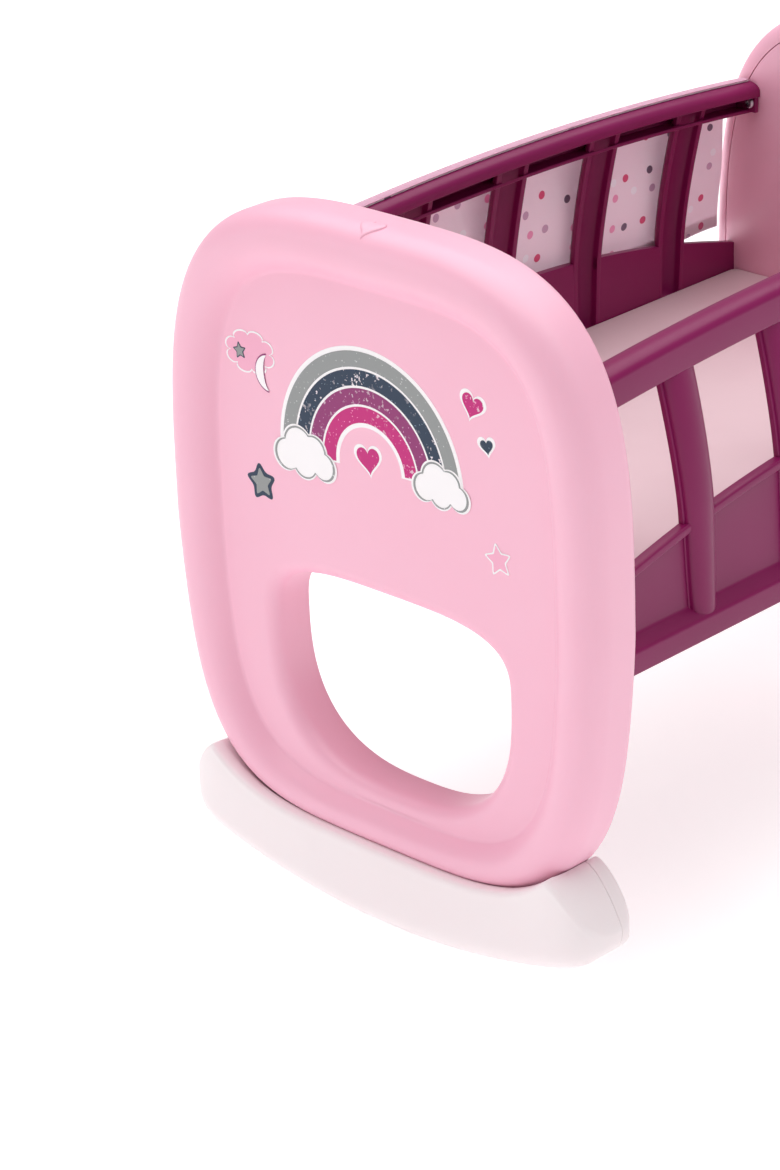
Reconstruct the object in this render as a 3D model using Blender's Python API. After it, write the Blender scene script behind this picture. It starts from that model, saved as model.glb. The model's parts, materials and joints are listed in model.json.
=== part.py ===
"""Doll cradle: two moulded end panels on curved rockers, joined by barred side frames round a flat bed.

Frame: X runs across the cradle, Y along it from the foot end to the head end, Z up from the floor.
The origin lies on the floor under the middle of the bed.  Lengths are metres.
"""

import math

import bmesh
import bpy
from mathutils import Matrix, Vector

MM = 0.001

# End panel, seen from its front
PANEL_WIDTH = 320.0 * MM
PANEL_BOTTOM = 43.4 * MM
PANEL_LOWER_TALL = 167.6 * MM
PANEL_ABOVE_RAIL = 52.0 * MM
PANEL_DEPTH = 39.0 * MM
PANEL_WALL = 2.5 * MM
PANEL_POWER_SHARES = (3.45, 3.2)
RIM_SIDE = 34.6 * MM
RIM_TOP = 35.0 * MM
RIM_BOTTOM = 22.0 * MM
RIM_FRONT_RADIUS = 17.0 * MM
RIM_BACK_RADIUS = 8.0 * MM
RIM_CREST_SHARE = 0.45
RIM_FALL_SHARES = (0.3, 0.6, 0.85, 1.0)
RIM_FALL_POWER_SHARE = 1.7
RECESS_BELOW_WIDEST = 8.4 * MM
RECESS_DEPTH = 11.0 * MM
RECESS_POWER_SHARES = (3.95, 3.2)

# Hand hole in the lower half of the panel
HOLE_SIDE_BAND = 38.4 * MM
HOLE_FOOT_BAND = 3.4 * MM
HOLE_UPPER_TALL = 36.8 * MM
HOLE_LOWER_TALL = 83.2 * MM
HOLE_FILLET = 6.0 * MM
HOLE_POWER_SHARES = (3.45, 2.6)

# Raised heart on the crown of the rim
HEART_WIDTH = 13.0 * MM
HEART_RAISE = 0.9 * MM
HEART_DEPTH = 18.0 * MM
HEART_ACROSS_SHARE = 0.5
HEART_ALONG_SHARES = (0.406, -0.156, -0.063, -0.031)

# Back cover of the panel
COVER_THICK = 2.5 * MM
COVER_EDGE = 1.5 * MM

# Rocker under each panel
ROCKER_SEAM = 34.0 * MM
ROCKER_REAR_DEPTH = 11.0 * MM
ROCKER_INSET = 6.5 * MM
ROCKER_RADIUS = 470.0 * MM
ROCKER_WALL = 2.6 * MM
ROCKER_TOP_EDGE = 5.0 * MM
ROCKER_FOOT_DEPTH = 9.2 * MM
ROCKER_FOOT_TALL = 15.0 * MM
ROCKER_REAR_EDGE = 4.0 * MM
ROCKER_END_RUN = 32.0 * MM
ROCKER_END_DEPTH = 4.0 * MM
ROCKER_END_PLAN_SHARE = 3.0
ROCKER_REAR_ROUND = 8.0 * MM
ROCKER_EDGE_LIMIT_SHARE = 0.4
ROCKER_TIP_INSET = 26.0 * MM
ROCKER_END_TALL = 11.0 * MM
ROCKER_END_POWER_SHARE = 1.4
ROCKER_CORNER_RUN = 4.5 * MM
ROCKER_CORNER_RISE = 7.5 * MM
ROCKER_LIP_FADE_SHARE = 0.5
ROCKER_LIP_POWER_SHARES = (4.0, 3.0)
PANEL_SETBACK = 6.0 * MM

# Side frames
BAR_COUNT = 5
BAR_PITCH = 83.0 * MM
BAR_END_GAP = 57.0 * MM
BAR_WIDTH = 28.0 * MM
BAR_LIP = 1.8 * MM
BAR_HEIGHT = 9.5 * MM
BAR_LIP_HEIGHT = 3.5 * MM
BAR_SHOW = 84.5 * MM
FRAME_WALL = 2.3 * MM
RAIL_INSET = 19.0 * MM
RAIL_WIDTH = 19.0 * MM
RAIL_CROWN = 6.0 * MM
RAIL_SIDE = 14.5 * MM
RAIL_ARCH = 11.0 * MM
RAIL_INNER_LIP = 3.5 * MM
RAIL_FLOOR_WIDTH = 12.5 * MM
APRON_INSET = 14.5 * MM
APRON_ABOVE_PANEL_FOOT = 141.2 * MM
APRON_BAND_TALL = 13.0 * MM
APRON_SLOPE_TALL = 6.0 * MM
APRON_ABOVE_BASE = 47.0 * MM
APRON_ARCH = 30.0 * MM
APRON_SHEET = 2.5 * MM
TOP_LIP_OUT = 3.8 * MM
TOP_LIP_TALL = 5.6 * MM
BOTTOM_LIP_OUT = 8.0 * MM
BAR_STAND = 6.9 * MM
BAR_TOP_INSET = 1.4 * MM
BAR_BEND_TALL = 82.0 * MM
BAR_LEAN_POWER_SHARE = 1.5
FLANGE_THICK = 3.0 * MM
FLANGE_REACH = 26.0 * MM
FLANGE_CROWN_SHARE = 0.33
LEDGE_WIDTH = 8.0 * MM
LEDGE_THICK = 2.5 * MM

# Bed base
BASE_ABOVE_GROOVE = 17.4 * MM
BASE_THICK = 3.0 * MM
BASE_CORNER = 6.0 * MM

# Cloth over the far rail
CLOTH_LENGTH = 440.0 * MM
CLOTH_THICK = 1.2 * MM
CLOTH_HEM = 2.0 * MM
CLOTH_HEM_TALL = 8.0 * MM
CLOTH_LAP = 21.0 * MM
CLOTH_FOLD = 3.2 * MM

# Screws
SHANK_RADIUS = 1.6 * MM
HEAD_RADIUS = 3.5 * MM
HEAD_TALL = 2.2 * MM
HEAD_CROWN_SHARE = 0.6
HEAD_EDGE_SHARE = 0.55
SHANK_TIP_SHARE = 0.3
THREAD_GRIP = 10.0 * MM
BOSS_RADIUS = 5.0 * MM
COUNTERBORE_DEPTH = 4.5 * MM
MOUNT_SCREW_SPACING = 96.0 * MM
ROCKER_SCREW_SPACING = 84.0 * MM
COVER_SCREW_SHARES = ((0.53, 0.74), (0.63, -0.745))
RAIL_SCREW_INSET = 13.5 * MM
RAIL_SCREW_DROP = 7.0 * MM
APRON_SCREW_INSET = 12.0 * MM
APRON_SCREW_RISE = 5.4 * MM

# Fits
SEAT_GAP = 0.3 * MM
HOLE_GAP = 0.5 * MM
HEAD_GAP = 0.9 * MM
SADDLE_GAP = 0.6 * MM
OVERRUN = 1.0 * MM
FUSE = 0.6 * MM

# Facet counts, and the places of a rocker's facets on the way from its middle to its end
RING_POINTS = 36
STATIONS = 8
ROCKER_PLACE_SHARES = (0.09, 0.28, 0.45, 0.58, 0.675, 0.755, 0.83, 0.885, 0.935, 0.97, 0.99, 1.0)
ARC_STEPS = 3
SCREW_SIDES = 6
BOSS_SIDES = 8
CLOTH_STATIONS = 20
CLOTH_LEVELS = 5

# Heights that follow from the ones above, from the floor upwards
APRON_BOTTOM = PANEL_BOTTOM + APRON_ABOVE_PANEL_FOOT
APRON_LEDGE = APRON_BOTTOM + APRON_BAND_TALL
APRON_GROOVE = APRON_LEDGE + APRON_SLOPE_TALL
BASE_BOTTOM = APRON_GROOVE + BASE_ABOVE_GROOVE
BASE_TOP = BASE_BOTTOM + BASE_THICK
APRON_TOP = BASE_TOP + APRON_ABOVE_BASE
RAIL_CREASE = APRON_TOP + BAR_SHOW
PANEL_TOP = RAIL_CREASE + PANEL_ABOVE_RAIL
PANEL_WIDEST = PANEL_BOTTOM + PANEL_LOWER_TALL
RECESS_WIDEST = PANEL_WIDEST - RECESS_BELOW_WIDEST
RECESS_BOTTOM = PANEL_BOTTOM + RIM_BOTTOM
HOLE_WIDEST = RECESS_BOTTOM + HOLE_FOOT_BAND + HOLE_FILLET + HOLE_LOWER_TALL
CLOTH_BOTTOM = APRON_TOP - CLOTH_LAP
BAR_BEND_START = RAIL_CREASE - RAIL_SIDE - BAR_BEND_TALL

# Distances from the middle, across the cradle
PANEL_HALF = PANEL_WIDTH / 2
RECESS_HALF = PANEL_HALF - RIM_SIDE
HOLE_HALF = RECESS_HALF - HOLE_SIDE_BAND
ROCKER_HALF = PANEL_HALF - ROCKER_INSET
RAIL_OUT = PANEL_HALF - RAIL_INSET
RAIL_IN = RAIL_OUT - RAIL_WIDTH
APRON_FACE = PANEL_HALF - APRON_INSET
BAR_CREST = APRON_FACE + BAR_STAND
BAR_TOP_CREST = RAIL_OUT - BAR_TOP_INSET

# Distances along the cradle, and depths behind the front plane of an end
INNER_LENGTH = 2 * BAR_END_GAP + (BAR_COUNT - 1) * BAR_PITCH
INNER_HALF = INNER_LENGTH / 2
PANEL_BACK = PANEL_SETBACK + PANEL_DEPTH
RECESS_PLANE = PANEL_SETBACK + RECESS_DEPTH
HALF_LENGTH = INNER_HALF + PANEL_BACK
COVER_FRONT = PANEL_BACK - COVER_THICK
COVER_LAP = RIM_BACK_RADIUS + COVER_EDGE
FRAME_HALF = INNER_HALF - SEAT_GAP
ROCKER_DEPTH = ROCKER_SEAM + ROCKER_REAR_DEPTH
BOSS_END = COVER_FRONT - SEAT_GAP
MOUNT_SCREW_PLANE = PANEL_SETBACK + RIM_FRONT_RADIUS

# Radii that follow from the screws
BORE_RADIUS = SHANK_RADIUS + HOLE_GAP
COUNTERBORE_RADIUS = HEAD_RADIUS + HEAD_GAP
POST_RADIUS = COUNTERBORE_RADIUS + ROCKER_WALL / 2

PINK = ("cradle_pink", (0.92, 0.53, 0.64), 0.38, 0.0)
WHITE = ("rocker_white", (0.87, 0.79, 0.81), 0.4, 0.0)
PLUM = ("frame_plum", (0.19, 0.03, 0.10), 0.35, 0.0)
CREAM = ("base_cream", (0.83, 0.72, 0.72), 0.5, 0.0)
CLOTH = ("cloth_pale_pink", (0.83, 0.50, 0.58), 0.9, 0.0)
STEEL = ("screw_steel", (0.62, 0.62, 0.63), 0.3, 1.0)


def clear_scene():
    """Take every object out of the scene before building."""
    for item in list(bpy.data.objects):
        bpy.data.objects.remove(item, do_unlink=True)


def material(spec):
    """The material of this name, made on first use."""
    name, colour, roughness, metallic = spec
    found = bpy.data.materials.get(name)
    if found:
        return found
    made = bpy.data.materials.new(name)
    made.use_nodes = True
    shader = made.node_tree.nodes["Principled BSDF"]
    shader.inputs["Base Color"].default_value = (*colour, 1.0)
    shader.inputs["Roughness"].default_value = roughness
    shader.inputs["Metallic"].default_value = metallic
    made.diffuse_color = (*colour, 1.0)
    return made


def add_object(name, mesh):
    """Put a finished bmesh in the scene as an object."""
    data = bpy.data.meshes.new(name)
    bmesh.ops.recalc_face_normals(mesh, faces=mesh.faces)
    mesh.to_mesh(data)
    mesh.free()
    item = bpy.data.objects.new(name, data)
    bpy.context.collection.objects.link(item)
    return item


def finish(item, spec, origin=(0.0, 0.0, 0.0), sharp=35.0):
    """Give an object its material, smooth shading and an origin, leaving its shape where it is."""
    item.data.materials.clear()
    item.data.materials.append(material(spec))
    item.data.transform(Matrix.Translation(-Vector(origin)))
    item.location = origin
    item.data.shade_smooth()
    item.data.set_sharp_from_angle(angle=math.radians(sharp))
    return item


def loft(name, rings, closed_rings=False):
    """Join rings of equal point counts into one solid, with capped ends unless the rings close."""
    mesh = bmesh.new()
    rows = [[mesh.verts.new(point) for point in ring] for ring in rings]
    count = len(rows[0])
    pairs = list(zip(rows, rows[1:]))
    if closed_rings:
        pairs.append((rows[-1], rows[0]))
    for first, second in pairs:
        for index in range(count):
            after = (index + 1) % count
            mesh.faces.new((first[index], first[after], second[after], second[index]))
    if not closed_rings:
        mesh.faces.new(rows[0])
        mesh.faces.new(list(reversed(rows[-1])))
    return add_object(name, mesh)


def box(name, low, high):
    """A block between two corners."""
    rings = []
    for height in (low[2], high[2]):
        rings.append([
            (low[0], low[1], height),
            (high[0], low[1], height),
            (high[0], high[1], height),
            (low[0], high[1], height),
        ])
    return loft(name, rings)


def rod(name, start, end, radius, sides=BOSS_SIDES):
    """A round bar from one point to another."""
    start = Vector(start)
    end = Vector(end)
    along = (end - start).normalized()
    across = along.orthogonal().normalized()
    other = along.cross(across)
    rings = []
    for centre in (start, end):
        ring = []
        for index in range(sides):
            angle = math.tau * index / sides
            ring.append(centre + radius * (math.cos(angle) * across + math.sin(angle) * other))
        rings.append(ring)
    return loft(name, rings)


def boolean(item, tool, operation):
    """Join, cut or intersect an object with a tool, which is used up."""
    cut = item.modifiers.new(operation.lower(), "BOOLEAN")
    cut.operation = operation
    cut.solver = "EXACT"
    cut.object = tool
    graph = bpy.context.evaluated_depsgraph_get()
    result = bpy.data.meshes.new_from_object(item.evaluated_get(graph))
    old = item.data
    item.modifiers.clear()
    item.data = result
    bpy.data.meshes.remove(old)
    bpy.data.objects.remove(tool, do_unlink=True)


def join(item, tool):
    """Fuse a tool to an object."""
    boolean(item, tool, "UNION")


def carve(item, tool):
    """Cut a tool out of an object."""
    boolean(item, tool, "DIFFERENCE")


def drill(item, start, end, radius):
    """Cut a round hole from one point to another."""
    carve(item, rod("hole", start, end, radius))


class Oval:
    """A rounded outline with unlike upper and lower halves, in the X-Z plane."""

    def __init__(self, half_width, widest, rise, drop, powers):
        self.half_width = half_width
        self.widest = widest
        self.rise = rise
        self.drop = drop
        self.powers = powers

    def grown(self, by):
        """The same outline moved out all round, or in where the distance is negative."""
        return Oval(self.half_width + by, self.widest, self.rise + by, self.drop + by, self.powers)

    def blended(self, other, share):
        """An outline part of the way to another one."""
        def mix(first, second):
            return first + (second - first) * share
        powers = tuple(mix(first, second) for first, second in zip(self.powers, other.powers))
        return Oval(
            mix(self.half_width, other.half_width),
            mix(self.widest, other.widest),
            mix(self.rise, other.rise),
            mix(self.drop, other.drop),
            powers,
        )

    def ring(self, depth, count=RING_POINTS):
        """Points round the outline at one depth."""
        points = []
        for index in range(count):
            angle = math.tau * index / count
            cosine = math.cos(angle)
            sine = math.sin(angle)
            power = self.powers[0] if sine >= 0 else self.powers[1]
            height = self.rise if sine >= 0 else self.drop
            across = math.copysign(abs(cosine) ** (2 / power), cosine)
            up = math.copysign(abs(sine) ** (2 / power), sine)
            points.append((self.half_width * across, depth, self.widest + height * up))
        return points

    def lower_edge(self, across):
        """Height of the lower half at a distance from the middle."""
        share = min(abs(across) / self.half_width, 1.0)
        return self.widest - self.drop * (1 - share ** self.powers[1]) ** (1 / self.powers[1])


OUTLINE = Oval(
    PANEL_HALF,
    PANEL_WIDEST,
    PANEL_TOP - PANEL_WIDEST,
    PANEL_WIDEST - PANEL_BOTTOM,
    PANEL_POWER_SHARES,
)
RECESS = Oval(
    RECESS_HALF,
    RECESS_WIDEST,
    PANEL_TOP - RIM_TOP - RECESS_WIDEST,
    RECESS_WIDEST - RECESS_BOTTOM,
    RECESS_POWER_SHARES,
)
HAND_HOLE = Oval(HOLE_HALF, HOLE_WIDEST, HOLE_UPPER_TALL, HOLE_LOWER_TALL, HOLE_POWER_SHARES)


def cover_screw_points():
    """Places of the screws that hold the back cover, above and below the middle on the +X side."""
    places = []
    for across_share, up_share in COVER_SCREW_SHARES:
        reach = OUTLINE.rise if up_share > 0 else OUTLINE.drop
        places.append((PANEL_HALF * across_share, PANEL_WIDEST + reach * up_share))
    return places


def frame_screw_points():
    """Places of the screws that hold one frame end to a panel, on the +X side."""
    drop = RAIL_ARCH + RAIL_SCREW_DROP
    return [
        (RAIL_OUT - RAIL_SCREW_INSET, RAIL_CREASE - drop),
        (APRON_FACE - APRON_SCREW_INSET, APRON_LEDGE + APRON_SCREW_RISE),
    ]


def both_sides(places):
    """The given places and their mirror images across the middle."""
    return [(side * across, height) for across, height in places for side in (1, -1)]


def panel_screw_points():
    """Places of every screw that enters a panel from its back."""
    return both_sides(cover_screw_points() + frame_screw_points())


def mount_screw_points():
    """Distances from the middle of the screws that rise through a rocker."""
    return (-MOUNT_SCREW_SPACING / 2, MOUNT_SCREW_SPACING / 2)


def rocker_screw_points():
    """Places of the screws that close a rocker, halfway up it."""
    places = []
    for across in (-ROCKER_SCREW_SPACING, 0.0, ROCKER_SCREW_SPACING):
        places.append((across, (rocker_bottom(across) + rocker_top(across)) / 2))
    return places


def front_rings(inset):
    """Rings of the panel's front skin from its side over the rim to the recess, or behind it by an inset."""
    rings = []
    for step in range(ARC_STEPS + 1):
        angle = math.pi / 2 * step / ARC_STEPS
        share = RIM_CREST_SHARE * (1 - math.cos(angle))
        depth = PANEL_SETBACK + inset + RIM_FRONT_RADIUS * (1 - math.sin(angle))
        rings.append(OUTLINE.grown(-inset).blended(RECESS, share).ring(depth))
    for fall in RIM_FALL_SHARES:
        share = RIM_CREST_SHARE + (1 - RIM_CREST_SHARE) * fall
        depth = PANEL_SETBACK + inset + RECESS_DEPTH * fall ** RIM_FALL_POWER_SHARE
        rings.append(OUTLINE.grown(-inset).blended(RECESS, share).ring(depth))
    return rings


def panel_rings():
    """Rings of the panel shell: over the rim, down to the recess, through the hole and back inside."""
    front = PANEL_SETBACK
    back = PANEL_BACK
    wall = PANEL_WALL
    rings = [OUTLINE.grown(-COVER_LAP).ring(back)]
    for step in range(ARC_STEPS + 1):
        angle = math.pi / 2 * step / ARC_STEPS
        inset = RIM_BACK_RADIUS * (1 - math.sin(angle))
        depth = back - RIM_BACK_RADIUS * (1 - math.cos(angle))
        rings.append(OUTLINE.grown(-inset).ring(depth))
    rings.extend(front_rings(0.0))
    for step in range(ARC_STEPS):
        angle = math.pi / 2 * step / (ARC_STEPS - 1)
        grow = HOLE_FILLET * (1 - math.sin(angle))
        depth = RECESS_PLANE + HOLE_FILLET * (1 - math.cos(angle))
        rings.append(HAND_HOLE.grown(grow).ring(depth))
    rings.append(HAND_HOLE.ring(back))
    rings.append(HAND_HOLE.grown(wall).ring(back))
    rings.append(HAND_HOLE.grown(wall).ring(RECESS_PLANE + HOLE_FILLET + wall))
    rings.append(HAND_HOLE.grown(wall + HOLE_FILLET).ring(RECESS_PLANE + wall))
    rings.append(RECESS.grown(wall).ring(RECESS_PLANE + wall))
    rings.append(OUTLINE.blended(RECESS, RIM_CREST_SHARE).ring(front + wall))
    rings.append(OUTLINE.grown(-wall).ring(front + RIM_FRONT_RADIUS))
    rings.append(OUTLINE.grown(-wall).ring(back - RIM_BACK_RADIUS))
    rings.append(OUTLINE.grown(-RIM_BACK_RADIUS).ring(back - wall))
    rings.append(OUTLINE.grown(-COVER_LAP).ring(back - wall))
    return rings


def crown_height(depth):
    """Height of the crown of the rim at a depth behind the front plane, in the middle of the panel."""
    rise = 1 - (depth - PANEL_SETBACK) / RIM_FRONT_RADIUS
    if rise <= 0:
        return PANEL_TOP
    return PANEL_TOP - RIM_TOP * RIM_CREST_SHARE * (1 - math.sqrt(1 - rise ** 2))


def heart_tool():
    """A small raised heart that follows the crown of the rim."""
    outline = []
    for index in range(RING_POINTS // 2):
        angle = math.tau * index / (RING_POINTS // 2)
        across = HEART_WIDTH * HEART_ACROSS_SHARE * math.sin(angle) ** 3
        along = HEART_DEPTH
        for order, share in enumerate(HEART_ALONG_SHARES, start=1):
            along += HEART_WIDTH * share * math.cos(order * angle)
        outline.append((across, along))
    low = [(across, along, crown_height(along) - PANEL_WALL / 2) for across, along in outline]
    high = [(across, along, crown_height(along) + HEART_RAISE) for across, along in outline]
    return loft("heart", [low, high])


def panel_bosses():
    """The bosses for the screws that enter a panel from its back, cut to the inside of its front skin."""
    rods = []
    for across, height in panel_screw_points():
        rods.append(rod("boss", (across, PANEL_SETBACK, height), (across, BOSS_END, height), BOSS_RADIUS))
    bosses = rods[0]
    for other in rods[1:]:
        join(bosses, other)
    inset = PANEL_WALL / 2
    back = OUTLINE.grown(-inset).ring(PANEL_BACK)
    boolean(bosses, loft("inside", [back, *front_rings(inset)]), "INTERSECT")
    return bosses


def panel_shell(name):
    """The moulded front of an end panel with its screw bosses, facing -Y at its own front plane."""
    item = loft(name, panel_rings(), closed_rings=True)
    join(item, panel_bosses())
    for across, height in panel_screw_points():
        start = BOSS_END - THREAD_GRIP - OVERRUN
        drill(item, (across, start, height), (across, PANEL_BACK + OVERRUN, height), BORE_RADIUS)
    centre = MOUNT_SCREW_PLANE
    for across in mount_screw_points():
        floor = OUTLINE.lower_edge(across)
        top = floor + PANEL_WALL + THREAD_GRIP
        join(item, rod("boss", (across, centre, floor + PANEL_WALL / 2), (across, centre, top), BOSS_RADIUS))
        drill(item, (across, centre, floor - OVERRUN), (across, centre, top - FUSE), BORE_RADIUS)
    join(item, heart_tool())
    return item


def panel_cover(name):
    """The flat plate that closes a panel's back round the hand hole."""
    outer = OUTLINE.grown(-COVER_LAP - SEAT_GAP)
    inner = HAND_HOLE.grown(PANEL_WALL + SEAT_GAP)
    rings = [
        outer.ring(COVER_FRONT),
        outer.ring(PANEL_BACK),
        inner.ring(PANEL_BACK),
        inner.ring(COVER_FRONT),
    ]
    item = loft(name, rings, closed_rings=True)
    for across, height in panel_screw_points():
        start = (across, COVER_FRONT - OVERRUN, height)
        drill(item, start, (across, PANEL_BACK + OVERRUN, height), BORE_RADIUS)
    return item


def rocker_stations():
    """Places along a rocker, closer together near its ends, with a flat stretch in the middle."""
    places = [ROCKER_HALF * share for share in ROCKER_PLACE_SHARES]
    return [-place for place in reversed(places)] + places


def rocker_lift(across):
    """Height of the rocking circle above its flat middle stretch."""
    flat = ROCKER_HALF * ROCKER_PLACE_SHARES[0]
    lift = math.sqrt(ROCKER_RADIUS ** 2 - flat ** 2) - math.sqrt(ROCKER_RADIUS ** 2 - across ** 2)
    return max(lift, 0.0)


def end_curve(across, run, reach, power=2.0):
    """How far an edge has curved away at a place near a rocker's end, where it is to go the whole reach."""
    share = (abs(across) - (ROCKER_HALF - run)) / run
    if share <= 0:
        return 0.0
    return reach * (1 - max(1 - share ** power, 0.0) ** (1 / power))


def rocker_bottom(across):
    """Height of a rocker's underside: a circle that lifts into a rounded corner."""
    return rocker_lift(across) + end_curve(across, ROCKER_CORNER_RUN, ROCKER_CORNER_RISE)


def rocker_top(across, angle=0.0):
    """Height of a rocker's top at an angle of the rim's arc: it hugs the panel, then falls to the end."""
    tip = ROCKER_HALF - ROCKER_TIP_INSET
    place = min(abs(across), tip)
    run = (abs(across) - place) / ROCKER_TIP_INSET
    inner_power, outer_power = ROCKER_LIP_POWER_SHARES
    share = RIM_CREST_SHARE * (1 - math.cos(angle))
    saddle = OUTLINE.grown(SADDLE_GAP)
    arc = saddle.blended(RECESS.grown(SADDLE_GAP), share)
    flat = saddle.lower_edge(place)
    fade = (1 - ROCKER_LIP_FADE_SHARE * (place / tip) ** inner_power) * (1 - run) ** outer_power
    end_top = rocker_lift(ROCKER_HALF) + ROCKER_END_TALL
    fall = (flat - end_top) * run ** ROCKER_END_POWER_SHARE
    return flat - fall + (arc.lower_edge(place) - flat) * fade


def rocker_set_in(across):
    """How far a rocker's front face has curved back at a place near its ends."""
    return end_curve(across, ROCKER_END_RUN, ROCKER_SEAM - ROCKER_END_DEPTH, ROCKER_END_PLAN_SHARE)


def rounded_corner(corner, deep, tall):
    """Points round one corner of a rocker's cross-section, from its level side to its upright side."""
    points = []
    for step in range(ARC_STEPS + 1):
        angle = math.pi / 2 * step / ARC_STEPS
        points.append((
            corner[0],
            corner[1] + deep * (1 - math.sin(angle)),
            corner[2] + tall * (1 - math.cos(angle)),
        ))
    return points


def front_section(across):
    """Cross-section of the front shell, with a lip that rises in front of the panel's rim."""
    start = rocker_set_in(across)
    end = ROCKER_SEAM
    low = rocker_bottom(across)
    angles = [math.pi / 2 * step / ARC_STEPS for step in range(ARC_STEPS)]
    crown_top = rocker_top(across, angles[-1])
    limit = ROCKER_EDGE_LIMIT_SHARE * min(crown_top - low, end - start)
    edge = min(ROCKER_TOP_EDGE, limit)
    foot_tall = min(ROCKER_FOOT_TALL, (crown_top - low) * (1 - ROCKER_EDGE_LIMIT_SHARE) - OVERRUN / 2)
    foot_depth = min(ROCKER_FOOT_DEPTH, (end - start) * ROCKER_EDGE_LIMIT_SHARE)
    foot = rounded_corner((across, start, low), foot_depth, foot_tall)
    crown = rounded_corner((across, start, crown_top), edge, -edge)
    lip = []
    for angle in reversed(angles):
        reach = RIM_FRONT_RADIUS * (1 - math.sin(angle)) - SADDLE_GAP * math.sin(angle)
        share = (PANEL_SETBACK + reach - ROCKER_TOP_EDGE) / (end - ROCKER_TOP_EDGE)
        depth = start + edge + (end - start - edge) * share
        lip.append((across, depth, rocker_top(across, angle)))
    return [(across, end, low), *foot, *reversed(crown), *lip, (across, end, rocker_top(across))]


def rear_section(across):
    """Cross-section of the rear shell, rounded along its outer edges and towards its ends."""
    start = ROCKER_SEAM + SEAT_GAP
    end = ROCKER_DEPTH - end_curve(across, ROCKER_REAR_ROUND, ROCKER_REAR_ROUND)
    low = rocker_bottom(across)
    high = rocker_top(across)
    edge = min(ROCKER_REAR_EDGE, ROCKER_EDGE_LIMIT_SHARE * min(high - low, end - start))
    foot = rounded_corner((across, end, low), -edge, edge)
    crown = rounded_corner((across, end, high), -edge, -edge)
    return [(across, start, low), *foot, *reversed(crown), (across, start, high)]


def rocker_hollow(closed, mouth, deep, tall):
    """The space inside a rocker shell, from its closed wall to its open mouth, cut short at one corner."""
    rings = []
    for across in rocker_stations():
        if abs(across) > ROCKER_HALF - ROCKER_CORNER_RUN - ROCKER_WALL:
            continue
        wall = closed + rocker_set_in(across) if closed < mouth else closed
        low = rocker_bottom(across) + ROCKER_WALL
        high = rocker_top(across) - ROCKER_WALL
        rings.append([
            (across, mouth, low),
            (across, wall + math.copysign(deep, mouth - closed), low),
            (across, wall, low + tall),
            (across, wall, high),
            (across, mouth, high),
        ])
    return loft("hollow", rings)


def rocker_front(name):
    """The wide front shell of a rocker, open at the seam, with its screw posts."""
    item = loft(name, [front_section(across) for across in rocker_stations()])
    deep = ROCKER_FOOT_DEPTH - ROCKER_WALL
    tall = ROCKER_FOOT_TALL - ROCKER_WALL
    carve(item, rocker_hollow(ROCKER_WALL, ROCKER_SEAM + OVERRUN, deep, tall))
    for across, height in rocker_screw_points():
        post_end = ROCKER_SEAM - SEAT_GAP
        join(item, rod("post", (across, ROCKER_WALL / 2, height), (across, post_end, height), BOSS_RADIUS))
        bore_start = ROCKER_SEAM - THREAD_GRIP - OVERRUN
        bore_end = ROCKER_SEAM + OVERRUN
        drill(item, (across, bore_start, height), (across, bore_end, height), BORE_RADIUS)
    centre = MOUNT_SCREW_PLANE
    for across in mount_screw_points():
        low = rocker_bottom(across)
        high = rocker_top(across)
        join(item, rod("post", (across, centre, low + FUSE), (across, centre, high - FUSE), POST_RADIUS))
        drill(item, (across, centre, low - OVERRUN), (across, centre, high + OVERRUN), BORE_RADIUS)
        seat = low + COUNTERBORE_DEPTH
        drill(item, (across, centre, low - OVERRUN), (across, centre, seat), COUNTERBORE_RADIUS)
    return item


def rocker_rear(name):
    """The narrow rear shell of a rocker, open at the seam, with pockets for the closing screws."""
    start = ROCKER_SEAM + SEAT_GAP
    back = ROCKER_DEPTH
    wall = back - ROCKER_WALL
    item = loft(name, [rear_section(across) for across in rocker_stations()])
    edge = ROCKER_REAR_EDGE - ROCKER_WALL
    carve(item, rocker_hollow(wall, start - OVERRUN, edge, edge))
    for across, height in rocker_screw_points():
        join(item, rod("post", (across, start, height), (across, wall + FUSE, height), POST_RADIUS))
        drill(item, (across, start - OVERRUN, height), (across, back + OVERRUN, height), BORE_RADIUS)
        seat = back - COUNTERBORE_DEPTH
        drill(item, (across, seat, height), (across, back + OVERRUN, height), COUNTERBORE_RADIUS)
    return item


def arch(along, rise):
    """Drop below the middle of an arched edge at a place along the cradle."""
    return rise * (along / INNER_HALF) ** 2


def bar_places():
    """Places of the bars along the cradle."""
    return [(index - (BAR_COUNT - 1) / 2) * BAR_PITCH for index in range(BAR_COUNT)]


def bar_crest(height):
    """Distance from the middle of the cradle to the outside of a bar: upright below, leaning in above."""
    share = max((height - BAR_BEND_START) / BAR_BEND_TALL, 0.0)
    return BAR_CREST - (BAR_CREST - BAR_TOP_CREST) * share ** BAR_LEAN_POWER_SHARE


def frame_sweep(name, section):
    """A length of the frame with one cross-section that follows its arch."""
    rings = []
    for index in range(STATIONS + 1):
        along = FRAME_HALF * (2 * index / STATIONS - 1)
        rings.append([(across, along, height) for across, height in section(along)])
    return loft(name, rings)


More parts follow.
